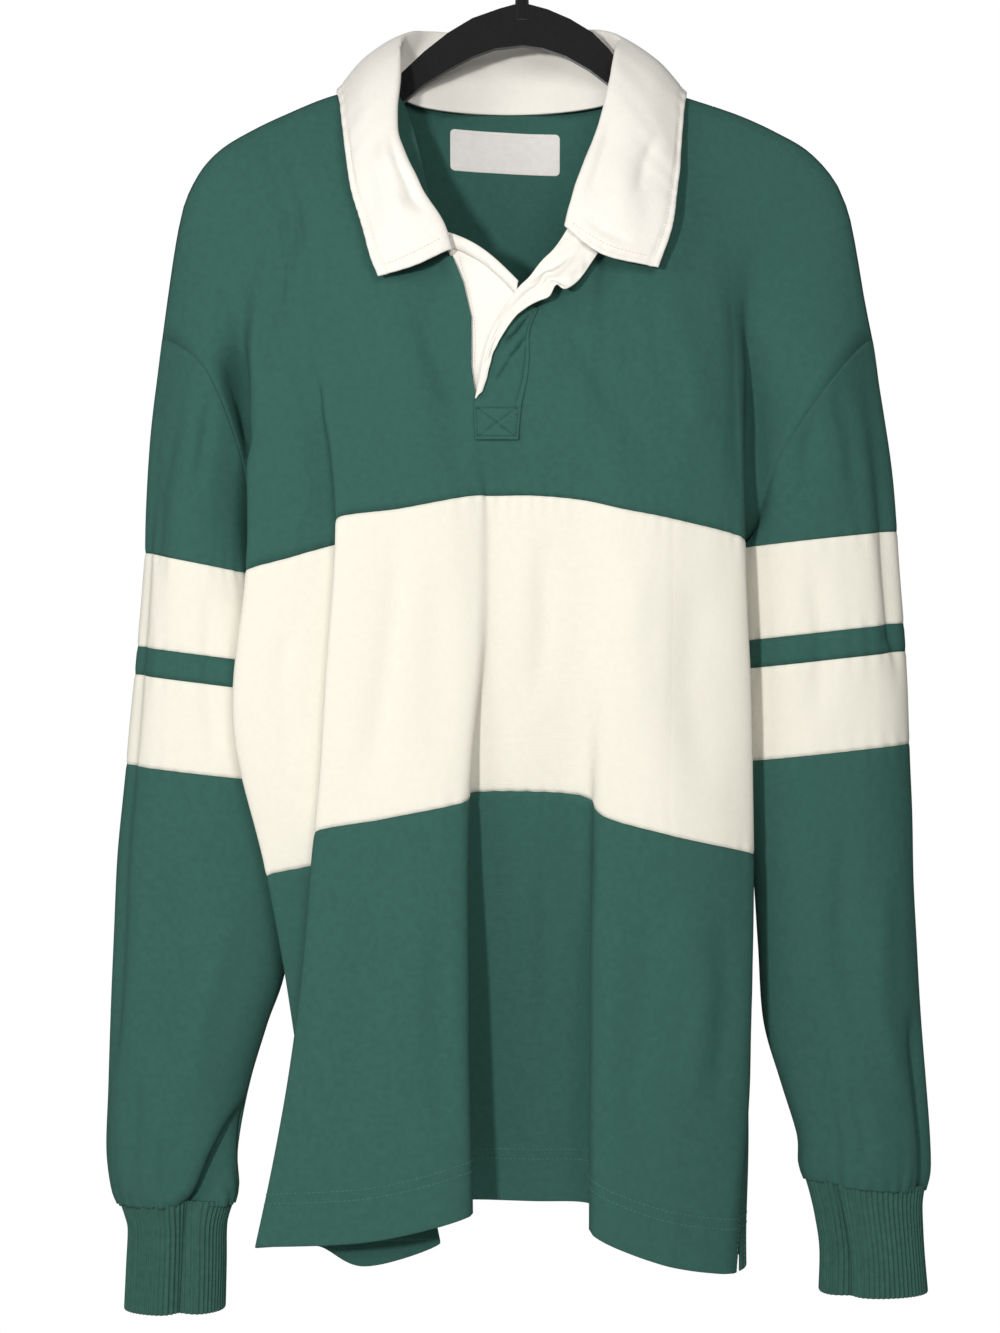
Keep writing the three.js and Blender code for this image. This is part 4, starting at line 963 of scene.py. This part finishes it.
# %% Stitches beside the vents
for name, (grid, normal, place) in bodies.items():
    lines = []
    for edge in (VENT_COLUMNS, -1 - VENT_COLUMNS):
        rows = place[-1, edge, 1] - place[:, edge, 1] < VENT_STITCH_HEIGHT
        lines.append((grid[rows, edge] + normal[rows, edge] * JERSEY / 2, normal[rows, edge]))
    stitch_row("stitches_%s_vents" % name, lines, thread_green, "jersey_green")

# %% [markdown]
# ## The sleeves' pieces
#
# Each sleeve is cut in five: a green head, two cream rings with a green stripe between them,
# and a long green forearm that is gathered into the cuff.

# %% Sleeves
SLEEVE_PARTS = ("upper", "band_upper", "stripe", "band_lower", "lower")
SLEEVE_LOOKS = {"left": (LEFT_SLEEVE_CREASES, 31), "right": (RIGHT_SLEEVE_CREASES, 47)}
GATHERS, GATHER, GATHER_REACH = 23, 1.1, 13.0
HEAD_FADE, UNDER_FADE = 0.25, 0.06
for side, sleeve in sleeves.items():
    grid, at, flip = sleeve["grid"], sleeve["at"], sleeve["flip"]
    creases, seed = SLEEVE_LOOKS[side]
    seam_rows = [row_of(at, seam) for seam in range(len(SLEEVE_PARTS) - 1)]
    flat_points = np.stack([cloth_lengths(grid)[..., 0], grid[..., 2]], -1)
    around = np.abs(np.linspace(0, 1, grid.shape[1]) * 2 - 1)
    fade = smooth((at + 1) / HEAD_FADE)[:, None] * smooth((1 - around) / UNDER_FADE)[None, :]
    seams = [(row, SLEEVE_SEAM_DIP) for row in seam_rows]
    grid, normal, place = shaped(grid, flip, flat_points, creases, seams, seed, fade)
    turns = np.linspace(0, 2 * np.pi, grid.shape[1])
    uneven = 0.7 + 0.3 * np.sin(5 * turns + seed)
    gathers = np.sin(GATHERS * turns + 1.5 * np.sin(3 * turns)) * uneven
    up = place[-1:, :, 1] - place[..., 1]
    grid = grid + normal * (GATHER * gathers * np.exp(-up / GATHER_REACH))[..., None]
    normal = outward(grid, flip)
    grid[:, -1], normal[:, -1] = grid[:, 0], normal[:, 0]
    cuts = [0, *seam_rows, len(at) - 1]
    for part, first, last in zip(SLEEVE_PARTS, cuts, cuts[1:]):
        span = slice(first, last + 1)
        node = "%s_sleeve_%s" % (side, part)
        piece = wall("cloth_" + node, grid[span], normal[span], place[span], JERSEY, flip=flip)
        finish_piece(piece, *jersey_of(part), node)

# %% Cuffs
CUFF_WALL = 1.5
RIBS, RIB_POINTS, CUFF_ROWS = 64, 8, 41
RIB_HEIGHT, RIB_LIFT, RIB_SWAY = 0.62, 0.4, 0.25
for side, rings, presses in (
    ("left", LEFT_CUFF, LEFT_CUFF_PRESSES), ("right", RIGHT_CUFF, RIGHT_CUFF_PRESSES)
):
    flip = side == "left"
    around = np.linspace(0, 1, RIBS * RIB_POINTS + 1)
    at = np.linspace(0, len(rings) - 1, CUFF_ROWS)
    grid = tube(rings, presses, at, around)
    normal = outward(grid, flip)
    normal[:, 0] = normal[:, -1] = (normal[:, 0] + normal[:, -1]) / 2
    wave = np.cos(2 * np.pi * RIBS * around)[None, :]
    along = np.sin(np.pi * at / at[-1])[:, None]
    sway = 1 + RIB_SWAY * np.sin(6 * np.pi * around)[None, :] * along
    raised = grid + normal * (RIB_HEIGHT * (wave * sway + RIB_LIFT))[..., None]
    raised[:, -1] = raised[:, 0]
    place = cloth_lengths(grid)
    piece = wall("cloth_%s_cuff" % side, raised, normal, place, CUFF_WALL, ["bottom"], flip)
    finish_piece(piece, rib_green, "rib_green", "%s_cuff" % side)

# %% [markdown]
# ## Collar
#
# The collar is one folded strip of twill. Its stand rises from the neckline, rolls over, and
# its fall lies out over the shoulders with two points in front. Two plies make it stiff, so it
# is thicker than the jersey, with a row of stitches near its free edge.

# %% Collar table
COLLAR = [
    ("left end", (-42, -41, -227), (-43.8, -56, -224.8), (-87, -54, -240.5)),
    ("left corner", (-47.5, -47.5, -217), (-49, -56, -209.5), (-91.3, -53, -230)),
    ("left front", (-58, -43, -200), (-57.5, -54, -193), (-95.3, -52, -216)),
    ("left chest", (-75, -33, -167), (-75.5, -45, -156), (-104, -44, -186)),
    ("left shoulder front", (-83, -18, -133), (-76, -25, -108), (-109.5, -32, -150)),
    ("left shoulder brow", (-85, -8, -119), (-75, -9, -88), (-113, -15, -126)),
    ("left shoulder", (-81, 0, -118), (-72, 6, -79), (-115, 3, -115.5)),
    ("left back", (-64, 8, -123.6), (-56, 29, -71), (-88, 46, -122)),
    ("back centre", (-7.5, 32.9, -123.4), (-7.5, 41, -71), (-7.5, 55, -136)),
    ("right back", (49, 8, -123.6), (44, 29, -71), (76, 46, -122)),
    ("right shoulder", (67, 0, -118), (60, 6, -81), (102, 3, -116.5)),
    ("right shoulder brow", (70.5, -8, -119), (58, -10, -93), (100.5, -15, -129)),
    ("right shoulder front", (67, -18, -133), (55, -26, -114), (96, -33, -166)),
    ("right chest", (62, -33, -167), (44, -43, -155), (93.5, -44, -190)),
    ("right front", (52, -43, -202), (31, -53, -190), (90, -49, -211)),
    ("right end", (43, -49, -223.5), (26, -56, -211), (81.7, -54, -235)),
]
# At the two ends the middle of the fall sags off the straight line by x and z.
COLLAR_SAG = {"left end": (1, -2), "left corner": (0, -1), "right end": (-8, -5)}
TWILL = 1.9
FALL_PUFF, STAND_PUFF = 4.5, 1.2
NECK_X = -7.5
LIFT_UP = 20.0
COLLAR_ROWS, COLLAR_STEP = 61, 1.8
COLLAR_STITCH = 4.7
COLLAR_CREASES = [
    (-3.0, 4, [(-78, -148), (-73, -172), (-66, -193), (-55, -206)]),
    (1.8, 4, [(-86, -152), (-79, -190), (-68, -212)]),
    (-1.6, 6, [(-90, -140), (-94, -175), (-88, -215)]),
    (-2.0, 4.5, [(52, -140), (46, -170), (38, -200)]),
    (0.9, 6, [(66, -130), (60, -175), (56, -215)]),
    (-1.0, 6, [(80, -140), (76, -180), (74, -222)]),
    (-1.6, 3, [(36, -205), (50, -214), (66, -220)]),
    (-1.6, 3.5, [(-90, -166), (-82, -178), (-77, -200)]),
    (-1.5, 4, [(84, -150), (74, -168), (68, -196)]),
]


# %% Collar, rolled over
def collar_grid(rows, columns):
    """The collar's surface from the neckline over the roll to the free edge."""
    sections = []
    for i, (name, seam, roll, edge) in enumerate(COLLAR):
        before, after = COLLAR[max(i - 1, 0)], COLLAR[min(i + 1, len(COLLAR) - 1)]
        seam, roll, edge = (np.array(p, float) for p in (seam, roll, edge))
        along = np.array(after[2], float) - np.array(before[2], float)
        away = np.array([roll[0] - NECK_X, roll[1], 0.0])
        lift = np.cross(along, edge - roll)
        lift /= np.linalg.norm(lift)
        if lift @ np.array([away[0], away[1], LIFT_UP]) < 0:
            lift = -lift
        sag_x, sag_z = COLLAR_SAG.get(name, (0, 0))
        fall_middle = (roll + edge) / 2 + lift * FALL_PUFF + (sag_x, 0, sag_z)
        stand_middle = (seam + roll) / 2 + away / np.linalg.norm(away) * STAND_PUFF
        sections.append(spline([seam, stand_middle, roll, fall_middle, edge], rows * 4))
    return spline(np.array(sections), columns).transpose(1, 0, 2)


collar_rows = np.linspace(0, 1, COLLAR_ROWS)
collar_edge = np.array([section[3] for section in COLLAR], float)
grid = collar_grid(collar_rows, even_steps(collar_edge, len(COLLAR), COLLAR_STEP))
normal = outward(grid, True)
place = cloth_lengths(grid)
run, down = place[..., 0], place[..., 1]
steps = np.linalg.norm(np.diff(grid, axis=1), axis=-1)
along = np.concatenate([np.zeros((len(grid), 1)), steps], 1).cumsum(1)
from_edge, from_end = down[-1:] - down, np.minimum(along, along[:, -1:] - along)
on_fall = smooth((collar_rows - 0.55) / 0.06)[:, None]
on_stand = [smooth(t / 0.12)[:, None] for t in (collar_rows, 0.42 - collar_rows)]

# The stitched edges dip and pucker, the roll and the stand wave, and the fall is creased.
height = ripple(place, 60.0, 0.5, 5) + ripple(place, 16.0, 0.12, 6)
for away, beside in ((from_edge, run), (from_end, down + 7)):
    uneven = 0.6 + 0.4 * np.sin(beside / 23.0)
    pucker = np.sin(beside / 1.35 + 1.1 * np.sin(beside / 9.0)) * uneven
    height -= on_fall * 1.2 * np.exp(-(((away - COLLAR_STITCH) / 0.9) ** 2))
    height += on_fall * 0.42 * pucker * np.exp(-(((away - 2.8) / 3.2) ** 2))
wave = np.sin(run / 11.0 + 2.0 * np.sin(run / 47.0)) * np.sin(run / 31.0)
height += 0.9 * wave * np.exp(-(((down - down[COLLAR_ROWS // 2]) / 9.0) ** 2))
wave = np.sin(run / 5.5 + 1.7 * np.sin(run / 17.0)) * np.sin(down / 9.0 + run / 29.0)
height += 0.7 * wave * on_stand[0] * on_stand[1]
height += on_fall * creased(grid[..., (0, 2)], COLLAR_CREASES)
grid = grid + normal * (height * smooth((collar_rows - 0.1) / 0.2)[:, None])[..., None]
normal = outward(grid, True)
collar = wall("cloth_collar", grid, normal, place, TWILL, ["bottom", "left", "right"], True)
finish_piece(collar, twill_white, "twill_white", "collar")
lines = [across_line(grid, normal, place, COLLAR_STITCH, TWILL / 2, slice(3, -3))]
for column in (3, -4):
    lines.append((grid[34:-4, column] + normal[34:-4, column] * TWILL / 2, normal[34:-4, column]))
collar_stitches = stitch_row("stitches_collar", lines, thread_white, "twill_white", 2.4, 0.6, 0.2)

# %% [markdown]
# ## Placket and neckline cut
#
# The front is slit below the neck. A white facing lines the right edge of the slit and turns
# out at the top. A white strip lies under the left edge. A green strip covers the bottom of the
# slit and ends in a stitched box with a cross. Each strip lies on the front, so its points
# are given edge by edge, station by station.

# %% Placket tables
PLACKET_UNDER = [
    ((-48, -46, -211.5), (-2.5, -51, -243), 5),
    ((-44.2, -42.8, -226), (-2.5, -49, -252), 3),
    ((-38.4, -43.8, -244), (-3, -47.5, -270), 0),
    ((-33.5, -44.5, -266), (-4, -47.5, -284), 0),
    ((-33.4, -44.8, -293), (-5, -47.5, -300), 0),
    ((-31, -45, -316), (-6, -47.5, -317), 0),
]
PLACKET_OVER = [
    ((1.9, -52.5, -257.6), (9.2, -49.9, -259), 0),
    ((-7.1, -52, -268), (4, -49.9, -273), 0),
    ((-16.2, -51.5, -281), (4, -49.9, -288), 0),
    ((-20.4, -51.2, -295), (3, -49.9, -300), 0),
    ((-25, -51, -308), (1.2, -50, -309), 0),
    ((-29.4, -50.4, -317), (-0.5, -50.2, -317), 0),
    ((-29.2, -50.3, -328), (-1.8, -50.2, -328), 0),
    ((-28.8, -50.2, -338.5), (-2.6, -50.2, -338.5), 0),
]
PLACKET_FACING = [
    ((-28.5, -53.3, -314), (-25, -53.6, -310), 0),
    ((-26.2, -53.3, -303), (-21.8, -54, -301), 0),
    ((-23.2, -53.4, -288), (-18, -55, -287), 0),
    ((-18, -53.6, -272), (-11.5, -57, -275), 0),
    ((-10, -54, -258), (-3, -60, -264), 0),
    ((-1.5, -54.5, -246), (8, -62, -257), 0),
    ((5, -55, -239), (15.5, -62.5, -254), 0),
    ((8.5, -55, -235), (20.2, -62.5, -247.2), 0),
    ((12.5, -55.5, -230.7), (25, -62.5, -249.5), 0),
    ((18, -55.5, -225), (33, -60, -244), 0),
    ((27.5, -53.6, -210.5), (45, -53.2, -226.5), 0),
]
# The slit's two edges lie a little under the strips that cover them.
PLACKET_LEFT = [(-46, -205), (-43.3, -224.6), (-36, -243), (-31, -264), (-31, -294), (-28, -316)]
PLACKET_RIGHT = [(47, -205), (40.5, -226), (29, -235), (17, -246), (5.5, -260), (0.5, -274),
                 (0.5, -289), (-1.5, -304), (-4, -316)]
CUT_NEAR, CUT_FAR = -90, -20


# %% The slit in the front
def cut_front(piece):
    """Cuts the placket's opening out of the front."""
    outline = [*PLACKET_LEFT, *reversed(PLACKET_RIGHT)]
    ring = [(x * MM, y * MM, z * MM) for y in (CUT_NEAR, CUT_FAR) for x, z in outline]
    count = len(outline)
    faces = [tuple(range(count)), tuple(reversed(range(count, 2 * count)))]
    faces += [(i, i + count, (i + 1) % count + count, (i + 1) % count) for i in range(count)]
    mesh = bpy.data.meshes.new("slit")
    mesh.from_pydata(ring, [], faces)
    cutter = bpy.data.objects.new("slit", mesh)
    bpy.context.scene.collection.objects.link(cutter)
    bpy.ops.object.select_all(action="DESELECT")
    cutter.select_set(True)
    bpy.context.view_layer.objects.active = cutter
    bpy.ops.object.mode_set(mode="EDIT")
    bpy.ops.mesh.select_all(action="SELECT")
    bpy.ops.mesh.normals_make_consistent(inside=False)
    bpy.ops.object.mode_set(mode="OBJECT")
    cut = piece.modifiers.new("slit", "BOOLEAN")
    cut.operation, cut.solver, cut.object = "DIFFERENCE", "EXACT", cutter
    bpy.context.view_layer.objects.active = piece
    bpy.ops.object.modifier_apply(modifier=cut.name)
    bpy.data.objects.remove(cutter)
    print("front after the slit:", len(piece.data.polygons), "faces")


cut_front(cloth_pieces["front", "upper"][0])


# %% Placket strips
def strip(stations, rows, columns, crown):
    """A strip between two edges, crowned a little along its middle."""
    left = np.array([a for a, _, _ in stations], float)
    right = np.array([b for _, b, _ in stations], float)
    bow = np.array([[c] for _, _, c in stations], float)
    at = np.linspace(0, len(stations) - 1, rows)
    left, right, bow = spline(left, at), spline(right, at), spline(bow, at)
    t = np.linspace(0, 1, columns)[None, :, None]
    grid = left[:, None] * (1 - t) + right[:, None] * t
    arch = np.sin(np.pi * t[..., 0])
    grid[..., 1] -= crown * arch
    grid[..., 2] += bow * arch
    return grid


def under_shape(place, t):
    """The top of the strip is rolled over itself, with a seam below the roll."""
    down = place[..., 1]
    roll = 2.3 * np.sqrt(np.clip(np.sin(np.pi * np.clip(down / ROLL_DEPTH, 0, 1)), 0, 1))
    seam = -0.5 * np.exp(-(((down - ROLL_DEPTH - 0.6) / 0.9) ** 2))
    pucker = 0.25 * np.sin(place[..., 0] / 1.9) * np.exp(-(((down - ROLL_DEPTH) / 3.5) ** 2))
    border = -0.35 * np.exp(-(((t - 0.16) / 0.02) ** 2)) * smooth((down - 14) / 4)
    return (roll + seam + pucker) * smooth(t / 0.06) + border


def over_shape(place, t):
    """The stitches pull a shallow dip along each line, as on the box with its cross."""
    down = place[..., 1]
    rows = len(down)
    length = down[-1].mean()
    u, v = np.broadcast_arrays(t * OVER_WIDTH, np.linspace(0, 1, rows)[:, None] * length)
    flat = np.stack([u, v], -1)
    height = 0.0 * down
    for path in STITCHED_LINES:
        line = [(a * OVER_WIDTH, b * length) for a, b in path]
        height = height - 0.6 * np.exp(-((along_path(flat, line)[0] / 0.9) ** 2))
    return height


def facing_shape(place, t):
    """It is folded along its inner side, and twists as it turns out under the collar."""
    down = place[..., 1]
    fold = 1.2 * np.exp(-(((t - 0.25) / 0.14) ** 2)) - 1.5 * np.exp(-(((t - 0.5) / 0.07) ** 2))
    twist = 0.5 + 0.5 * np.sin(down / 11.0)
    pucker = 0.35 * np.sin(down / 1.7) * np.exp(-(((t - 0.86) / 0.09) ** 2))
    turned = 0.9 * np.sin((down - 60 * t) / 5.5) * smooth((down - 70) / 12)
    return 1.3 * fold * twist * smooth((down - 18) / 14) + pucker * smooth(down / 20) + turned


ROLL_DEPTH = 9.0
OVER_WIDTH = 28.0
BOX_TOP, BOX_BOTTOM = 0.745, 0.97
OVER_CREASES = [
    (-2.2, 1.5, [(-14, -283), (-5, -275), (6, -262)]),
    (-1.8, 1.3, [(-9, -290.5), (-3, -284), (3, -275)]),
    (-1.7, 1.4, [(-17, -305), (-10, -294), (-6, -288)]),
    (1.4, 3.0, [(-11, -277), (-2, -268)]),
    (1.2, 3.0, [(-12, -289), (-2, -279)]),
]
BOX = [(0.06, BOX_TOP), (0.94, BOX_TOP), (0.94, BOX_BOTTOM), (0.06, BOX_BOTTOM), (0.06, BOX_TOP)]
STITCHED_LINES = [
    BOX,
    [(0.08, BOX_TOP), (0.92, BOX_BOTTOM)],
    [(0.92, BOX_TOP), (0.08, BOX_BOTTOM)],
    [(0.88, 0.03), (0.88, BOX_TOP)],
]
STRIP_ROWS, STRIP_COLUMNS = 150, 40
strips = {}
for name, stations, material, slot, crown, shape, creases in (
    ("placket_under", PLACKET_UNDER, twill_white, "twill_white", 0.0, under_shape, []),
    ("placket_over", PLACKET_OVER, jersey_green, "jersey_green", 0.5, over_shape, OVER_CREASES),
    ("placket_facing", PLACKET_FACING, twill_white, "twill_white", 0.8, facing_shape, []),
):
    grid = strip(stations, STRIP_ROWS, STRIP_COLUMNS, crown)
    place = cloth_lengths(grid)
    t = np.linspace(0, 1, STRIP_COLUMNS)[None, :]
    height = ripple(place, 24.0, 0.12, 71) + shape(place, t) + creased(grid[..., (0, 2)], creases)
    grid = grid + outward(grid) * height[..., None]
    normal = outward(grid)
    piece = wall("cloth_" + name, grid, normal, place, JERSEY, ALL_EDGES)
    finish_piece(piece, material, slot, name)
    strips[name] = (piece, grid, normal, place)


# %% Placket stitches
def on_strip(grid, normal, points):
    """A line on a strip from places across and down it, with its normals."""
    fine = []
    for (u0, v0), (u1, v1) in zip(points[:-1], points[1:]):
        for t in np.linspace(0, 1, 12, endpoint=False):
            fine.append((u0 + (u1 - u0) * t, v0 + (v1 - v0) * t))
    fine.append(points[-1])
    rows, columns = grid.shape[:2]
    r = [min(rows - 1, max(0, round(v * (rows - 1)))) for _, v in fine]
    c = [min(columns - 1, max(0, round(u * (columns - 1)))) for u, _ in fine]
    return grid[r, c] + normal[r, c] * JERSEY / 2, normal[r, c]


for name, paths, thread, slot, gap, radius in (
    ("placket_over", STITCHED_LINES, thread_dark, "jersey_green", 0.4, 0.26),
    ("placket_facing", [[(0.82, 0.04), (0.82, 0.97)]], thread_white, "twill_white", 0.5, 0.18),
    ("placket_under", [[(0.16, 0.14), (0.16, 0.95)]], thread_white, "twill_white", 0.5, 0.18),
):
    piece, grid, normal, place = strips[name]
    lines = [on_strip(grid, normal, path) for path in paths]
    stitches = stitch_row("stitches_" + name, lines, thread, slot, 2.2, gap, radius)

# %% [markdown]
# ## Label
#
# A plain woven label lies on the inside of the back, below the neck. It carries no words. It
# takes its depth from the back panel behind it, so that it follows the cloth.

# %% Label
LABEL_WIDTH, LABEL_HEIGHT = 70.0, 26.0
LABEL_CENTRE = (-10.5, -147.5)
LABEL_TILT = -0.05
LABEL_CORNER = 3.0
LABEL_CLOTH = 0.6
LABEL_LIFT = 0.3
LABEL_ROWS, LABEL_COLUMNS = 27, 71
INSIDE = JERSEY / 2 + LABEL_LIFT + LABEL_CLOTH / 2


def depth_of_back(x, z):
    """The depth of the back panel at a place, from the nearest points of its grid."""
    grid = bodies["back"][0][: chest_row + 1].reshape(-1, 3)
    away = (grid[:, 0] - x) ** 2 + (grid[:, 2] - z) ** 2
    near = np.argsort(away)[:6]
    weight = 1 / (away[near] + 0.05)
    return float((grid[near, 1] * weight).sum() / weight.sum())


grid = np.zeros((LABEL_ROWS, LABEL_COLUMNS, 3))
for r, c in np.ndindex(LABEL_ROWS, LABEL_COLUMNS):
    across = (c / (LABEL_COLUMNS - 1) - 0.5) * LABEL_WIDTH
    down = (r / (LABEL_ROWS - 1) - 0.5) * LABEL_HEIGHT
    corner_x = abs(across) - (LABEL_WIDTH / 2 - LABEL_CORNER)
    corner_z = abs(down) - (LABEL_HEIGHT / 2 - LABEL_CORNER)
    if corner_x > 0 and corner_z > 0:
        shrink = max(corner_x, corner_z) / np.hypot(corner_x, corner_z)
        across -= np.sign(across) * corner_x * (1 - shrink)
        down -= np.sign(down) * corner_z * (1 - shrink)
    x, z = LABEL_CENTRE[0] + across, LABEL_CENTRE[1] - down + across * LABEL_TILT
    grid[r, c] = x, depth_of_back(x, z) - INSIDE, z
normal, place = outward(grid), cloth_lengths(grid)
label = wall("cloth_label", grid, normal, place, LABEL_CLOTH, ALL_EDGES)
finish_piece(label, label_cloth, "label_satin", "label")
lines = []
for r in (2, LABEL_ROWS - 3):
    lines.append((grid[r, 2:-2] + normal[r, 2:-2] * LABEL_CLOTH / 2, normal[r, 2:-2]))
label_stitches = stitch_row("stitches_label", lines, thread_white, "label_satin", 2.0, 0.5, 0.14)

# %% [markdown]
# ## Hanger
#
# The hanger's solids already have their shapes, so they stay and only take new finishes: a
# black flock that is rough and soft, and a bright bent wire.

# %% Flock and wire
flock, tree, shader = surface("black_flock", {
    "Roughness": 0.95, "Specular IOR Level": 0.15, "Sheen Weight": 0.35, "Sheen Roughness": 0.4,
})
pile = noise(tree, 900.0, 4.0)
worn = blend_colours(tree, pile, (rgb(18, 18, 19), rgb(34, 34, 35)))
fill(tree, shader, {"Normal": bump(tree, pile, 0.6, 0.0005), "Base Color": worn})

wire, tree, shader = surface("bright_wire", {
    "Base Color": (0.62, 0.63, 0.65, 1), "Metallic": 1.0, "Roughness": 0.24,
})
fill(tree, shader, {"Normal": bump(tree, noise(tree, 260.0, 2.0), 0.08, 0.0002)})

for name, material, slot in (
    ("hanger_arms", flock, "hanger_flock"), ("hanger_hook", wire, "hook_steel")
):
    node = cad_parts[name]
    node.data.materials.clear()
    node.data.materials.append(material)

# %% [markdown]
# ## Light and floor
#
# A white surround gives the even studio light of the photograph. It looks pure white, but it
# lights the cloth at a fifth of that strength, so that folds stay dark in their depths. A small
# lamp, a little to the camera's left, throws the narrow crisp shadows. A broad one far to the
# left draws the folds, and a third at the right fills in. The floor lies below the cuffs.

# %% Studio
FLOOR_Z, FLOOR_RADIUS, FLOOR_SIDES = -1.35, 1.0, 96
SURROUND = 0.2
# Each lamp: its name, its size in metres, its watts and its place.
LAMPS = [
    ("key", 0.12, 17.2, (-0.52, -1.58, -0.3)),
    ("side", 0.9, 7.5, (-1.45, -1.35, 0.1)),
    ("fill", 0.7, 11.0, (0.3, -1.6, 0.1)),
]
world = bpy.data.worlds.new("studio")
bpy.context.scene.world = world
world.use_nodes = True
tree = world.node_tree
seen = tree.nodes.new("ShaderNodeLightPath").outputs["Is Camera Ray"]
strength = add_node(tree, "MapRange", {"To Min": SURROUND, "To Max": 1.0, "Value": seen})
lit = {"Color": (1, 1, 1, 1), "Strength": strength.outputs[0]}
fill(tree, tree.nodes["Background"], lit)

target = Vector((FRAME_CENTRE[0] * MM, 0, FRAME_CENTRE[1] * MM))
for name, size, watts, place in LAMPS:
    lamp_data = bpy.data.lights.new(name, "AREA")
    lamp_data.shape = "DISK"
    lamp_data.size, lamp_data.energy = size, watts
    lamp = bpy.data.objects.new(name, lamp_data)
    lamp.location = place
    lamp.rotation_euler = (target - lamp.location).to_track_quat("-Z", "Y").to_euler()
    bpy.context.scene.collection.objects.link(lamp)

bpy.ops.object.select_all(action="DESELECT")
bpy.ops.mesh.primitive_circle_add(
    vertices=FLOOR_SIDES, radius=FLOOR_RADIUS, fill_type="NGON", location=(0, 0, FLOOR_Z)
)
floor = bpy.context.object
floor.name = "floor"
pale, _, _ = surface("pale_floor", {"Base Color": (0.8, 0.8, 0.8, 1), "Roughness": 0.9})
floor.data.materials.append(pale)
floor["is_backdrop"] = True
bpy.context.scene.view_settings.view_transform = "Standard"

# %% Measure and finish
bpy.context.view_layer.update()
meshes = [piece.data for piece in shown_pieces() if piece.type == "MESH"]
total = sum(len(mesh.loop_triangles) or len(mesh.polygons) * 2 for mesh in meshes)
print("triangles, about:", total)
